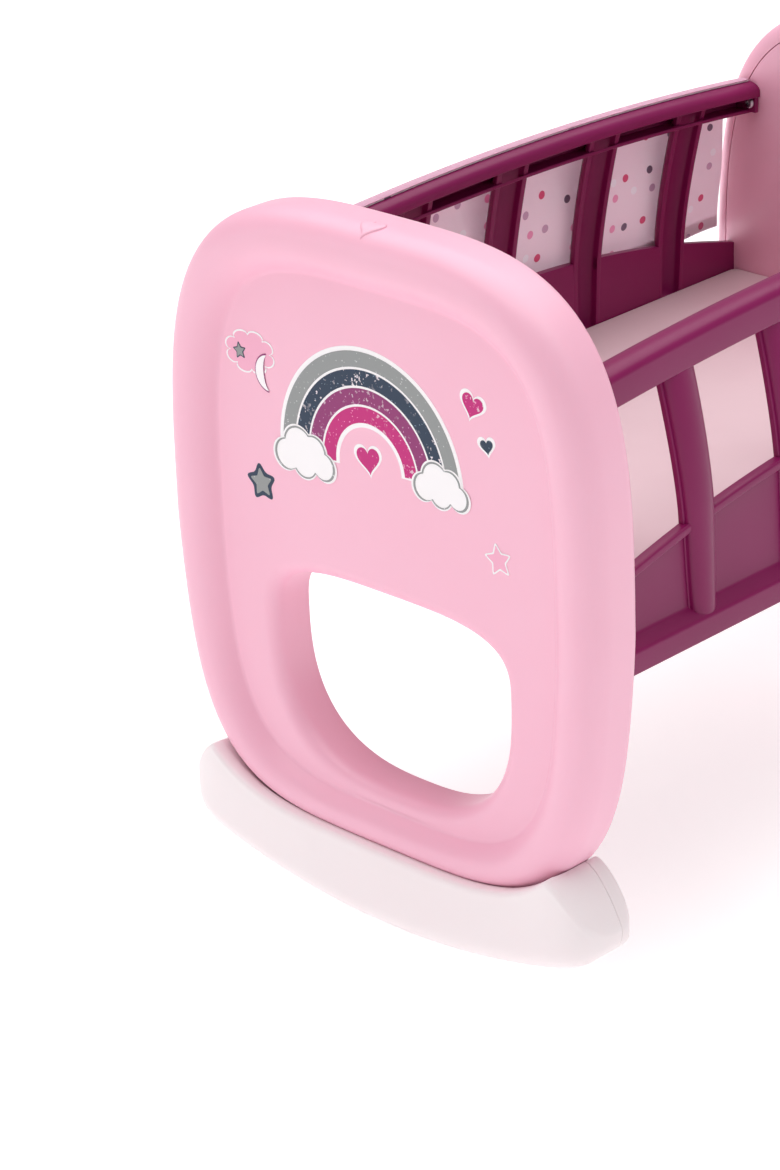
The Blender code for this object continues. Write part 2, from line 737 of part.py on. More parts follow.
def rail_section(along):
    """Cross-section of the top rail: a crowned channel, open towards the bed."""
    crease = RAIL_CREASE - arch(along, RAIL_ARCH)
    bottom = crease - RAIL_SIDE
    wall = FRAME_WALL
    centre = RAIL_OUT - RAIL_WIDTH / 2
    points = [
        (RAIL_OUT - RAIL_FLOOR_WIDTH, bottom),
        (RAIL_OUT - wall / 2, bottom),
        (RAIL_OUT, bottom + wall / 2),
    ]
    for step in range(2 * ARC_STEPS + 1):
        angle = math.pi * step / (2 * ARC_STEPS)
        points.append((centre + RAIL_WIDTH / 2 * math.cos(angle), crease + RAIL_CROWN * math.sin(angle)))
    points.append((RAIL_IN, crease - RAIL_INNER_LIP))
    points.append((RAIL_IN + wall, crease - RAIL_INNER_LIP))
    for step in range(2 * ARC_STEPS, -1, -1):
        angle = math.pi * step / (2 * ARC_STEPS)
        across = centre + (RAIL_WIDTH / 2 - wall) * math.cos(angle)
        points.append((across, crease + (RAIL_CROWN - wall) * math.sin(angle)))
    points.append((RAIL_OUT - wall, bottom + wall))
    points.append((RAIL_OUT - RAIL_FLOOR_WIDTH, bottom + wall))
    return points


def apron_section(along):
    """Cross-section of the apron: a sheet with a lip along its top and a stepped lip along its foot."""
    top = APRON_TOP - arch(along, APRON_ARCH)
    inner = APRON_FACE - APRON_SHEET
    lip = APRON_FACE + TOP_LIP_OUT
    foot = APRON_FACE + BOTTOM_LIP_OUT
    soft = FRAME_WALL / 2
    return [
        (inner, top),
        (lip - soft, top),
        (lip, top - soft),
        (lip, top - TOP_LIP_TALL),
        (APRON_FACE, top - TOP_LIP_TALL - soft),
        (APRON_FACE, APRON_GROOVE),
        (foot - soft, APRON_LEDGE + soft),
        (foot, APRON_LEDGE - soft),
        (foot, APRON_BOTTOM + soft),
        (foot - soft, APRON_BOTTOM),
        (foot - FRAME_WALL - soft, APRON_BOTTOM),
        (foot - FRAME_WALL, APRON_LEDGE - FRAME_WALL - soft),
        (APRON_FACE - soft, APRON_GROOVE - FRAME_WALL - soft),
        (inner, APRON_GROOVE - FRAME_WALL),
    ]


def ledge_section(_along):
    """Cross-section of the ledge inside the apron that the bed base rests on."""
    outer = APRON_FACE - APRON_SHEET + FUSE
    inner = APRON_FACE - APRON_SHEET - LEDGE_WIDTH
    top = BASE_BOTTOM - SEAT_GAP
    return [(outer, top), (inner, top), (inner, top - LEDGE_THICK), (outer, top - LEDGE_THICK)]


def bar_outline(grow, lip, back):
    """Half-round outline of a bar as steps along the frame and back from its crest."""
    half = BAR_WIDTH / 2 - BAR_LIP + grow
    height = BAR_HEIGHT - BAR_LIP_HEIGHT + grow
    arc = []
    for step in range(2 * ARC_STEPS + 1):
        angle = math.pi * step / (2 * ARC_STEPS)
        arc.append((-half * math.cos(angle), height * (1 - math.sin(angle)) - grow))
    if not lip:
        return [(-half, back), *arc, (half, back)]
    edge = height - grow
    return [(-half - lip, back), (-half - lip, edge), *arc, (half + lip, edge), (half + lip, back)]


def bar_solid(name, place, grow, lip, back, low, high):
    """A bar, or the channel inside it, between two heights."""
    heights = [low]
    for step in range(ARC_STEPS + 1):
        heights.append(BAR_BEND_START + (high - BAR_BEND_START) * step / ARC_STEPS)
    rings = []
    for height in heights:
        crest = bar_crest(height)
        ring = []
        for along, inward in bar_outline(grow, lip, back):
            ring.append((crest - inward, place + along, height))
        rings.append(ring)
    return loft(name, rings)


def side_frame(name, side):
    """One side frame: rail, bars, apron, ledge and end flanges as one moulding."""
    item = frame_sweep(name, rail_section)
    ends = (-1, 1)
    for end in ends:
        low_end = min(end * FRAME_HALF, end * (FRAME_HALF - FLANGE_THICK))
        high_end = low_end + FLANGE_THICK
        crease = RAIL_CREASE - RAIL_ARCH
        low = (RAIL_IN + FRAME_WALL / 2, low_end, crease - RAIL_SIDE + FRAME_WALL / 2)
        high = (RAIL_OUT - FRAME_WALL / 2, high_end, crease + RAIL_CROWN * FLANGE_CROWN_SHARE)
        join(item, box("flange", low, high))
    apron = frame_sweep("apron", apron_section)
    join(apron, frame_sweep("ledge", ledge_section))
    for end in ends:
        low_end = min(end * FRAME_HALF, end * (FRAME_HALF - FLANGE_THICK))
        high_end = low_end + FLANGE_THICK
        low = (APRON_FACE - FLANGE_REACH, low_end, APRON_LEDGE - FRAME_WALL)
        high = (APRON_FACE - FUSE, high_end, BASE_BOTTOM - SEAT_GAP - LEDGE_THICK / 2)
        join(apron, box("flange", low, high))
    for place in bar_places():
        top = RAIL_CREASE - arch(place, RAIL_ARCH) - FRAME_WALL
        bar = bar_solid("bar", place, 0.0, BAR_LIP, BAR_HEIGHT, APRON_LEDGE + FUSE, top)
        join(apron, bar)
    join(item, apron)
    for place in bar_places():
        top = RAIL_CREASE - arch(place, RAIL_ARCH) - FRAME_WALL - FUSE
        channel = bar_solid(
            "channel",
            place,
            -FRAME_WALL,
            0.0,
            BAR_HEIGHT + OVERRUN,
            APRON_GROOVE + OVERRUN,
            top,
        )
        carve(item, channel)
    for across, height in frame_screw_points():
        reach = FRAME_HALF + OVERRUN
        inner = FRAME_HALF - FLANGE_THICK - OVERRUN
        for end in ends:
            drill(item, (across, end * inner, height), (across, end * reach, height), BORE_RADIUS)
    if side < 0:
        item.data.transform(Matrix.Scale(-1, 4, (1, 0, 0)))
        item.data.flip_normals()
    return item


def bed_base():
    """The flat plate that the doll lies on, with eased corners."""
    half_width = APRON_FACE - APRON_SHEET - 2 * SEAT_GAP
    half_length = INNER_HALF - 2 * SEAT_GAP
    rings = []
    for height in (BASE_BOTTOM, BASE_TOP):
        ring = []
        for across, along, turn in ((1, -1, -1), (1, 1, 0), (-1, 1, 1), (-1, -1, 2)):
            corner = (across * (half_width - BASE_CORNER), along * (half_length - BASE_CORNER))
            for step in range(ARC_STEPS + 1):
                angle = math.pi / 2 * (turn + step / ARC_STEPS)
                ring.append((
                    corner[0] + BASE_CORNER * math.cos(angle),
                    corner[1] + BASE_CORNER * math.sin(angle),
                    height,
                ))
        rings.append(ring)
    return loft("bed_base", rings)


def cloth_path(along):
    """Inner face of the cloth at a place along the rail: over it, down its side and outside the bars."""
    crease = RAIL_CREASE - arch(along, RAIL_ARCH)
    centre = RAIL_OUT - RAIL_WIDTH / 2
    gap = SEAT_GAP
    points = []
    steps = 2 * ARC_STEPS
    for step in range(steps - 1, -1, -1):
        angle = math.pi * step / steps
        points.append((
            centre + (RAIL_WIDTH / 2 + gap) * math.cos(angle),
            crease + (RAIL_CROWN + gap) * math.sin(angle),
        ))
    low = crease - RAIL_SIDE
    points.append((RAIL_OUT + gap, low))
    folds = (1 - math.cos(math.tau * along / BAR_PITCH)) / 2
    for step in range(1, CLOTH_LEVELS + 1):
        height = low + (CLOTH_BOTTOM + CLOTH_HEM_TALL - low) * step / CLOTH_LEVELS
        rest = max(bar_crest(height), APRON_FACE + TOP_LIP_OUT, RAIL_OUT) + gap
        points.append((rest + CLOTH_FOLD * folds * step / CLOTH_LEVELS, height))
    last = points[-1][0]
    points.append((last, CLOTH_BOTTOM))
    return points


def hanging_cloth():
    """The cloth over the far rail with its soft folds between the bars and its thicker hem."""
    half = CLOTH_LENGTH / 2
    rings = []
    for index in range(CLOTH_STATIONS + 1):
        along = half * (2 * index / CLOTH_STATIONS - 1)
        path = cloth_path(along)
        hem = path[-2:]
        outer = []
        for before, point, after in zip([path[0], *path], path, [*path[1:], path[-1]]):
            run = Vector((after[0] - before[0], after[1] - before[1])).normalized()
            thick = CLOTH_HEM if point in hem else CLOTH_THICK
            outer.append((point[0] - run.y * thick, point[1] + run.x * thick))
        ring = path + outer[::-1]
        rings.append([(-across, along, height) for across, height in ring])
    return loft("hanging_cloth", rings)


def screw(name, seat, direction, grip):
    """A pan-head screw whose head rests on a seat and whose shank runs along a direction."""
    profile = [
        (HEAD_RADIUS * HEAD_CROWN_SHARE, HEAD_TALL),
        (HEAD_RADIUS, HEAD_TALL * HEAD_EDGE_SHARE),
        (HEAD_RADIUS, 0.0),
        (SHANK_RADIUS, 0.0),
        (SHANK_RADIUS, -grip + SHANK_RADIUS),
        (SHANK_RADIUS * SHANK_TIP_SHARE, -grip),
    ]
    turn = Vector(direction).normalized().to_track_quat("-Z", "Y").to_matrix()
    rings = []
    for radius, height in profile:
        ring = []
        for index in range(SCREW_SIDES):
            angle = math.tau * index / SCREW_SIDES
            ring.append(turn @ Vector((radius * math.cos(angle), radius * math.sin(angle), height)))
        rings.append(ring)
    item = loft(name, rings)
    finish(item, STEEL)
    item.location = seat
    return item


def turned_to_end(item, end):
    """Carry a piece built at its own front plane to the foot end or, turned round, to the head end."""
    item.data.transform(Matrix.Translation((0.0, -HALF_LENGTH, 0.0)))
    if end == "head":
        item.data.transform(Matrix.Rotation(math.pi, 4, "Z"))
    return item


def end_point(end, across, depth, height):
    """World place of a point given at an end's own front plane."""
    if end == "foot":
        return (across, depth - HALF_LENGTH, height)
    return (-across, HALF_LENGTH - depth, height)


def build_end(end):
    """Panel, cover, rocker shells and screws of one end."""
    inward = Vector((0, -1, 0)) if end == "foot" else Vector((0, 1, 0))
    shell = turned_to_end(panel_shell(end + "_panel_shell"), end)
    finish(shell, PINK, end_point(end, 0.0, PANEL_SETBACK, PANEL_BOTTOM))
    cover = turned_to_end(panel_cover(end + "_panel_cover"), end)
    finish(cover, PINK, end_point(end, 0.0, COVER_FRONT, PANEL_WIDEST))
    front = turned_to_end(rocker_front(end + "_rocker_front"), end)
    finish(front, WHITE, end_point(end, 0.0, 0.0, 0.0))
    rear = turned_to_end(rocker_rear(end + "_rocker_rear"), end)
    finish(rear, WHITE, end_point(end, 0.0, ROCKER_DEPTH, 0.0))
    cover_grip = SEAT_GAP + COVER_THICK + THREAD_GRIP
    labels = ("upper_a", "upper_b", "lower_a", "lower_b")
    for label, (across, height) in zip(labels, both_sides(cover_screw_points())):
        seat = end_point(end, across, PANEL_BACK + SEAT_GAP, height)
        screw(end + "_cover_screw_" + label, seat, inward, cover_grip)
    flange_back = PANEL_BACK + SEAT_GAP + FLANGE_THICK + SEAT_GAP
    frame_grip = flange_back - COVER_FRONT + THREAD_GRIP
    labels = ("rail_a", "rail_b", "apron_a", "apron_b")
    for label, (across, height) in zip(labels, both_sides(frame_screw_points())):
        seat = end_point(end, across, flange_back, height)
        screw(end + "_frame_screw_" + label, seat, inward, frame_grip)
    rocker_grip = ROCKER_DEPTH - COUNTERBORE_DEPTH - ROCKER_SEAM + THREAD_GRIP
    for label, (across, height) in zip(("a", "b", "c"), rocker_screw_points()):
        seat = end_point(end, across, ROCKER_DEPTH - COUNTERBORE_DEPTH + SEAT_GAP, height)
        screw(end + "_rocker_screw_" + label, seat, inward, rocker_grip)
    for label, across in zip(("a", "b"), mount_screw_points()):
        low = rocker_bottom(across) + COUNTERBORE_DEPTH - SEAT_GAP
        reach = OUTLINE.lower_edge(across) + PANEL_WALL + THREAD_GRIP - FUSE - OVERRUN - low
        screw(end + "_mount_screw_" + label, end_point(end, across, MOUNT_SCREW_PLANE, low), (0, 0, 1), reach)


def build():
    """Build the whole cradle."""
    clear_scene()
    for end in ("foot", "head"):
        build_end(end)
    for name, side in (("right_side_frame", 1), ("left_side_frame", -1)):
        frame = side_frame(name, side)
        finish(frame, PLUM, (side * APRON_FACE, 0.0, APRON_BOTTOM))
    finish(bed_base(), CREAM, (0.0, 0.0, BASE_TOP))
    finish(hanging_cloth(), CLOTH, (-RAIL_OUT, 0.0, RAIL_CREASE))


if __name__ == "__main__":
    build()
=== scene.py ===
"""Detailed pieces, finishes, light and camera for the doll cradle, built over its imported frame.

Frame: X runs across the cradle, Y along it from the foot end to the head end, Z up from the floor.
Lengths are metres.  Pieces of an end are modelled at the foot end and copied, turned, to the head end.
"""

import json
import logging
import math
from collections.abc import Callable, Iterable, Sequence
from dataclasses import astuple, dataclass, replace
from enum import Enum

import bmesh
import bpy
from mathutils import Matrix, Vector

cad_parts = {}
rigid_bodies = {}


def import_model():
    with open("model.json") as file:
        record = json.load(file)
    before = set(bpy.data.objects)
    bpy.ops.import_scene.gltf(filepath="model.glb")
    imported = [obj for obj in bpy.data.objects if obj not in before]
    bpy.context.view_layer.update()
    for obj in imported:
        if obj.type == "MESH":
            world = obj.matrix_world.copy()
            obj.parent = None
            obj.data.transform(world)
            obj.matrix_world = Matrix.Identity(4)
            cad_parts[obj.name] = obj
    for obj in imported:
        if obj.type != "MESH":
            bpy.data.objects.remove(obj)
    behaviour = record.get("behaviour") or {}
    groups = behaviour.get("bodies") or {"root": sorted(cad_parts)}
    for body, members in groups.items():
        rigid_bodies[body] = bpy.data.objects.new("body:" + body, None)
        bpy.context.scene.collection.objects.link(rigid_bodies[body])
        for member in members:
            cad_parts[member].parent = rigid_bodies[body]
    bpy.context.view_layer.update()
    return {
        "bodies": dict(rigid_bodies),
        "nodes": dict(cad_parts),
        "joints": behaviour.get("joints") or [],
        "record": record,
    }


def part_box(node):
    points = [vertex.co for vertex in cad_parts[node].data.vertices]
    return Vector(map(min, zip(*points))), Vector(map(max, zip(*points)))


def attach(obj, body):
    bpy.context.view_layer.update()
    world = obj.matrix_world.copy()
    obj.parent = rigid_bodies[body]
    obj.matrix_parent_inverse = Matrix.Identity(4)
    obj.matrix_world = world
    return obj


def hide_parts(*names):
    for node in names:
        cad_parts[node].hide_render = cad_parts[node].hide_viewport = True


MM = 0.001
# Share of an eased edge at which its middle ring lies.
EASE = 0.3
# Points of a ring that is joined to another are welded within this distance.
WELD = 0.001 * MM

Flat = tuple[float, float]
Point = tuple[float, float, float]
Colour = tuple[float, float, float, float]
Corner = tuple[Flat, float]

log = logging.getLogger("cradle")


class Slot(Enum):
    """The record's material slots."""

    PINK = "cradle_pink"
    WHITE = "rocker_white"
    PLUM = "frame_plum"
    CREAM = "base_cream"
    CLOTH = "cloth_pale_pink"
    STEEL = "screw_steel"


class End(Enum):
    """The two ends of the cradle, by the first word of their node names."""

    FOOT = "foot"
    HEAD = "head"


class Side(Enum):
    """The two long sides of the cradle, by the first word of their node names."""

    RIGHT = "right"
    LEFT = "left"


class Loft(Enum):
    """How a piece that is grown from ring to ring is closed."""

    CAPPED = "a face at each end"
    RING = "the last ring joined to the first"
    DOME = "open at its foot, with a fan of faces on top"


def tone(red: float, green: float, blue: float) -> Colour:
    """A colour from the values that a screen shows.

    Args:
        red: red value, from 0 to 255.
        green: green value, from 0 to 255.
        blue: blue value, from 0 to 255.

    Returns:
        The colour in linear light.
    """
    def linear(value: float) -> float:
        """One value in linear light."""
        share = value / 255
        return share / 12.92 if share <= 0.04045 else ((share + 0.055) / 1.055) ** 2.4

    return (linear(red), linear(green), linear(blue), 1.0)


class Field:
    """A number that varies over a surface; sums and products of fields add the nodes for them."""

    def __init__(self, graph: "Graph", socket: bpy.types.NodeSocket) -> None:
        """Wrap a value socket of a graph."""
        self.graph = graph
        self.socket = socket

    def maths(self, operation: str, *values: "Field | float") -> "Field":
        """The field that a Math node of this operation gives for these values."""
        node = self.graph.add("ShaderNodeMath", {"operation": operation}, dict(enumerate(values)))
        return Field(self.graph, node.outputs[0])

    def __add__(self, other: "Field | float") -> "Field":
        """Sum."""
        return self.maths("ADD", self, other)

    def __sub__(self, other: "Field | float") -> "Field":
        """Difference."""
        return self.maths("SUBTRACT", self, other)

    def __rsub__(self, other: float) -> "Field":
        """Difference from a number on the left."""
        return self.maths("SUBTRACT", other, self)

    def __mul__(self, other: "Field | float") -> "Field":
        """Product."""
        return self.maths("MULTIPLY", self, other)

    def sine(self) -> "Field":
        """Sine of the field."""
        return self.maths("SINE", self)

    def above(self, limit: float) -> "Field":
        """One where the field is over the limit, and zero elsewhere."""
        return self.maths("GREATER_THAN", self, limit)

    def rise(self, start: float, end: float) -> "Field":
        """A soft step from zero at the start to one at the end, which may lie below the start.

        Args:
            start: value at which the step begins.
            end: value at which it is complete.

        Returns:
            The step.
        """
        inputs = {"Value": self, "From Min": start, "From Max": end, "To Min": 0.0, "To Max": 1.0}
        node = self.graph.add("ShaderNodeMapRange", {"interpolation_type": "SMOOTHSTEP"}, inputs)
        return Field(self.graph, node.outputs[0])


class Graph:
    """The node tree of one material, with one Principled shader."""

    def __init__(self, name: str) -> None:
        """Start a material of this name with an empty tree.

        Args:
            name: the material's name.
        """
        self.material = bpy.data.materials.new(name)
        self.material.use_nodes = True
        self.tree = self.material.node_tree
        self.tree.nodes.clear()
        self.shader = self.add("ShaderNodeBsdfPrincipled")
        self.add("ShaderNodeOutputMaterial", {}, {"Surface": self.shader.outputs[0]})

    def add(
        self,
        kind: str,
        settings: dict[str, object] | None = None,
        inputs: dict[str | int, object] | None = None,
    ) -> bpy.types.Node:
        """Add one node.

        Args:
            kind: the node's type.
            settings: its settings, and the stops and interpolation of a ramp.
            inputs: values, sockets or fields for its inputs, by name or place.

        Returns:
            The node.
        """
        node = self.tree.nodes.new(kind)
        for name, value in (settings or {}).items():
            if name == "stops":
                self.set_stops(node.color_ramp, value)
            elif name == "interpolation":
                node.color_ramp.interpolation = value
            else:
                setattr(node, name, value)
        for key, value in (inputs or {}).items():
            self.feed(node.inputs[key], value)
        return node

    def feed(self, socket: bpy.types.NodeSocket, value: object) -> None:
        """Link a field or socket to an input, or set a plain value on it.

        Args:
            socket: the input.
            value: a field, a socket or a plain value.
        """
        if isinstance(value, Field):
            value = value.socket
        if isinstance(value, bpy.types.NodeSocket):
            self.tree.links.new(value, socket)
        else:
            socket.default_value = value

    def set_stops(self, ramp: bpy.types.ColorRamp, stops: Sequence[tuple[float, Colour]]) -> None:
        """Put the stops of a ramp in place.

        Args:
            ramp: the ramp.
            stops: position and colour of each stop, in order.
        """
        while len(ramp.elements) < len(stops):
            ramp.elements.new(1.0)
        for element, (position, colour) in zip(ramp.elements, stops):
            element.position = position
            element.color = colour

    def number(self, socket: bpy.types.NodeSocket) -> Field:
        """A value socket as a field."""
        return Field(self, socket)

    def spot(self) -> bpy.types.NodeSocket:
        """Object coordinates, in metres."""
        return self.add("ShaderNodeTexCoord").outputs["Object"]

    def chart(self, name: str) -> bpy.types.NodeSocket:
        """Coordinates of a UV map, in metres."""
        return self.add("ShaderNodeUVMap", {"uv_map": name}).outputs["UV"]

    def parts(self, vector: bpy.types.NodeSocket) -> tuple[Field, Field, Field]:
        """The three numbers of a vector."""
        split = self.add("ShaderNodeSeparateXYZ", {}, {0: vector})
        return tuple(self.number(socket) for socket in split.outputs)

    def scaled(self, vector: bpy.types.NodeSocket, by: Point) -> bpy.types.NodeSocket:
        """A vector with each of its numbers scaled."""
        return self.add("ShaderNodeMapping", {}, {"Vector": vector, "Scale": by}).outputs[0]

    def noise(self, where: bpy.types.NodeSocket, scale: float, detail: float = 2.0) -> Field:
        """Soft random clouds from 0 to 1, by their number for each metre and their finer layers."""
        inputs = {"Vector": where, "Scale": scale, "Detail": detail}
        return self.number(self.add("ShaderNodeTexNoise", {}, inputs).outputs[0])

    def streaks(self, where: bpy.types.NodeSocket, scales: Point, detail: float) -> Field:
        """Random clouds from 0 to 1, drawn out by their number for each metre on each axis."""
        return self.noise(self.scaled(where, scales), 1.0, detail)

    def mix(self, share: Field | float, first: object, second: object) -> bpy.types.NodeSocket:
        """The first colour, turning into the second one where the share is 1.

        Args:
            share: share of the second colour.
            first: a colour or its socket.
            second: a colour or its socket.

        Returns:
            The mixed colour.
        """
        # The Mix node keeps its colours at inputs 6 and 7, and its mixed colour at output 2.
        inputs = {0: share, 6: first, 7: second}
        return self.add("ShaderNodeMix", {"data_type": "RGBA"}, inputs).outputs[2]

    def bump(self, height: Field, distance: float, strength: float = 1.0) -> bpy.types.NodeSocket:
        """The normal of a surface with fine relief of this depth in metres."""
        inputs = {"Height": height, "Distance": distance, "Strength": strength}
        return self.add("ShaderNodeBump", {}, inputs).outputs[0]

    def dress(self, **sockets: object) -> bpy.types.Material:
        """Set the shader's sockets and give the material.

        Args:
            **sockets: values, fields or sockets by the socket's name, with _ for a space.

        Returns:
            The finished material.
        """
        for name, value in sockets.items():
            self.feed(self.shader.inputs[name.replace("_", " ")], value)
        return self.material


@dataclass(frozen=True)
class MouldedPlastic:
    """Injection-moulded plastic with a fine satin grain, faint flow clouds and light handling marks."""

    name: str
    colour: Colour
    deep: Colour
    roughness: float
    grain: float = 0.03 * MM
    gloss: float = 0.5
    scatter: float = 0.0
    scuffed_below: float = 0.0
    cloud_share: float = 0.35
    rough_spread: float = 0.10
    mark_depth: float = 0.25
    scuff_share: float = 0.35
    scuff_rough: float = 0.2
    dirt: Colour = tone(176, 160, 160)

    def material(self) -> bpy.types.Material:
        """Build the material.

        Returns:
            The material.
        """
        graph = Graph(self.name)
        where = graph.spot()
        clouds = graph.noise(where, scale=11.0, detail=3.0)
        colour = graph.mix(clouds.rise(0.3, 0.75) * self.cloud_share, self.colour, self.deep)
        hairlines = graph.streaks(where, (40.0, 40.0, 700.0), detail=4.0).rise(0.66, 0.74)
        marks = hairlines * graph.noise(where, scale=24.0).rise(0.5, 0.7)
        spread = self.rough_spread
        rough = graph.noise(where, scale=160.0, detail=3.0) * spread + (self.roughness - spread / 2)
        rough = rough + marks * spread
        if self.scuffed_below > 0:
            height = graph.parts(where)[2]
            rubs = graph.streaks(where, (60.0, 900.0, 300.0), detail=5.0).rise(0.5, 0.68)
            scuffs = rubs * height.rise(self.scuffed_below, 0.0)
            colour = graph.mix(scuffs * self.scuff_share, colour, self.dirt)
            rough = rough + scuffs * self.scuff_rough
        grain = graph.noise(where, scale=1500.0) * 0.7 + graph.noise(where, scale=420.0) * 0.3
        return graph.dress(
            Base_Color=colour,
            Roughness=rough,
            Normal=graph.bump(grain - marks * self.mark_depth, self.grain, 0.5),
            IOR=1.49,
            Specular_IOR_Level=self.gloss,
            Subsurface_Weight=self.scatter,
            Subsurface_Scale=2.0 * MM,
            Subsurface_Radius=(1.0, 0.6, 0.6),
        )


@dataclass(frozen=True)
class PrintedFoil:
    """Printed sticker film: a flat ink with a worn, speckled print or a fine glitter."""

    name: str
    colour: Colour
    fleck: Colour
    flecks: float = 0.0
    wear: float = 0.0
    bare: Colour = tone(250, 236, 242)
    relief: float = 0.02 * MM

    def material(self) -> bpy.types.Material:
        """Build the material.

        Returns:
            The material.
        """
        graph = Graph(self.name)
        where = graph.spot()
        cells = graph.add("ShaderNodeTexVoronoi", {}, {"Vector": where, "Scale": 1300.0})
        sparkle = graph.number(cells.outputs["Color"]).above(1.0 - self.flecks)
        rubbed = graph.noise(where, scale=420.0, detail=6.0).rise(0.60, 0.64)
        rubbed = rubbed * graph.noise(where, scale=70.0).rise(0.4, 0.6)
        colour = graph.mix(sparkle, self.colour, self.fleck)
        return graph.dress(
            Base_Color=graph.mix(rubbed * self.wear, colour, self.bare),
            Roughness=graph.noise(where, scale=240.0) * 0.12 + 0.34 - sparkle * 0.12,
            Normal=graph.bump(graph.noise(where, scale=900.0), self.relief, 0.5),
            Specular_IOR_Level=0.3,
            Coat_Weight=0.05,
            Coat_Roughness=0.12,
        )


@dataclass(frozen=True)
class Cotton:
    """Plain-weave cotton on a UV map in metres, with a print of scattered dots where it has one."""

    name: str
    colour: Colour
    shade: Colour
    dotted: bool = False
    thread: float = 0.45 * MM
    relief: float = 1.2 * MM
    dot_pitch: float = 19.5 * MM
    dot_radius: float = 2.79 * MM
    dot_wobble: float = 0.35 * MM
    dot_edges: Flat = (0.25 * MM, -0.05 * MM)
    scatter: float = 0.62
    ink_cover: float = 0.22
    inks: tuple[tuple[float, Colour], ...] = (
        (0.0, tone(205, 48, 112)),
        (0.24, tone(88, 74, 100)),
        (0.46, tone(190, 160, 182)),
        (0.68, tone(252, 236, 243)),
        (0.84, tone(232, 150, 182)),
    )

    def material(self) -> bpy.types.Material:
        """Build the material.

        Returns:
            The material.
        """
        graph = Graph(self.name)
        chart = graph.chart("weave")
        across, down, _ = graph.parts(chart)
        turns = math.tau / (2 * self.thread)
        weave = ((across * turns).sine() * (down * turns).sine()) * 0.5 + 0.5
        fibres = graph.noise(chart, scale=2600.0, detail=3.0)
        slubs = graph.streaks(chart, (60.0, 900.0, 1.0), detail=2.0)
        crumple = graph.noise(chart, scale=34.0, detail=3.0)
        colour = graph.mix(weave * 0.12 + fibres * 0.18 + slubs * 0.14, self.colour, self.shade)
        if self.dotted:
            colour = self.print_dots(graph, chart, colour, fibres)
        relief = weave * 0.10 + fibres * 0.04 + slubs * 0.04 + crumple * 0.82
        return graph.dress(
            Base_Color=colour,
            Roughness=graph.noise(chart, scale=400.0) * 0.1 + 0.84,
            Normal=graph.bump(relief, self.relief, 0.6),
            Sheen_Weight=0.25,
            Sheen_Roughness=0.5,
            Subsurface_Weight=0.85,
            Subsurface_Scale=3.0 * MM,
            Subsurface_Radius=(1.0, 0.85, 0.9),
        )

    def print_dots(
        self, graph: Graph, chart: bpy.types.NodeSocket, ground: bpy.types.NodeSocket, fibres: Field
    ) -> bpy.types.NodeSocket:
        """Print scattered dots of several inks on the ground colour.

        Args:
            graph: the material's graph.
            chart: the cloth's coordinates.
            ground: colour of the cloth.
            fibres: fine noise that lets the cloth show through the ink.

        Returns:
            The printed colour.
        """
        inputs = {"Vector": chart, "Scale": 1.0 / self.dot_pitch, "Randomness": self.scatter}
        cells = graph.add("ShaderNodeTexVoronoi", {"voronoi_dimensions": "2D"}, inputs)
        pick = graph.parts(cells.outputs["Color"])[0]
        settings = {"stops": self.inks, "interpolation": "CONSTANT"}
        ramp = graph.add("ShaderNodeValToRGB", settings, {0: pick})
        distance = graph.number(cells.outputs["Distance"]) * self.dot_pitch
        distance = distance + graph.noise(chart, scale=300.0) * self.dot_wobble
        outer, inner = (self.dot_radius + edge for edge in self.dot_edges)
        cover = distance.rise(outer, inner) * (1.0 - fibres * self.ink_cover)
        return graph.mix(cover, ground, ramp.outputs[0])


@dataclass(frozen=True)
class PlainSheet:
    """The matt moulded sheet of the bed base, with a fine leathered grain and faint rub marks."""

    name: str
    colour: Colour
    shade: Colour
    relief: float = 0.06 * MM

    def material(self) -> bpy.types.Material:
        """Build the material.

        Returns:
            The material.
        """
        graph = Graph(self.name)
        where = graph.spot()
        clouds = graph.noise(where, scale=8.0, detail=3.0).rise(0.35, 0.7)
        rubs = graph.streaks(where, (500.0, 30.0, 30.0), detail=4.0).rise(0.6, 0.75)
        grain = graph.noise(where, scale=1100.0, detail=3.0) * 0.6 + graph.noise(where, scale=300.0) * 0.4
        return graph.dress(
            Base_Color=graph.mix(clouds * 0.5, self.colour, self.shade),
            Roughness=graph.noise(where, scale=120.0, detail=3.0) * 0.12 + 0.48 - rubs * 0.08,
            Normal=graph.bump(grain, self.relief, 0.5),
        )


@dataclass(frozen=True)
class PlatedSteel:
    """Zinc-plated steel of the screws, lightly brushed and dulled in places."""

    name: str
    colour: Colour
    dull: Colour
    relief: float = 0.02 * MM

    def material(self) -> bpy.types.Material:
        """Build the material.

        Returns:
            The material.
        """
        graph = Graph(self.name)
        where = graph.spot()
        brushed = graph.streaks(where, (300.0, 4000.0, 300.0), detail=3.0)
        dulled = graph.noise(where, scale=500.0, detail=3.0).rise(0.45, 0.75)
        return graph.dress(
            Base_Color=graph.mix(dulled * 0.6, self.colour, self.dull),
            Metallic=1.0,
            Roughness=brushed * 0.16 + 0.2 + dulled * 0.12,
            Normal=graph.bump(brushed, self.relief, 0.4),
        )


@dataclass(frozen=True)
class PaleFloor:
    """The plain pale studio floor, with a little light of its own."""

    name: str = "pale_floor"
    colour: Colour = tone(224, 224, 224)
    shade: Colour = tone(220, 220, 220)
    glow: float = 0.52

    def material(self) -> bpy.types.Material:
        """Build the material.

        Returns:
            The material.
        """
        graph = Graph(self.name)
        faint = graph.noise(graph.spot(), scale=3.0)
        return graph.dress(
            Base_Color=graph.mix(faint * 0.2, self.colour, self.shade),
            Roughness=0.7,
            Specular_IOR_Level=0.1,
            Emission_Color=tone(255, 255, 255),
            Emission_Strength=self.glow,
        )


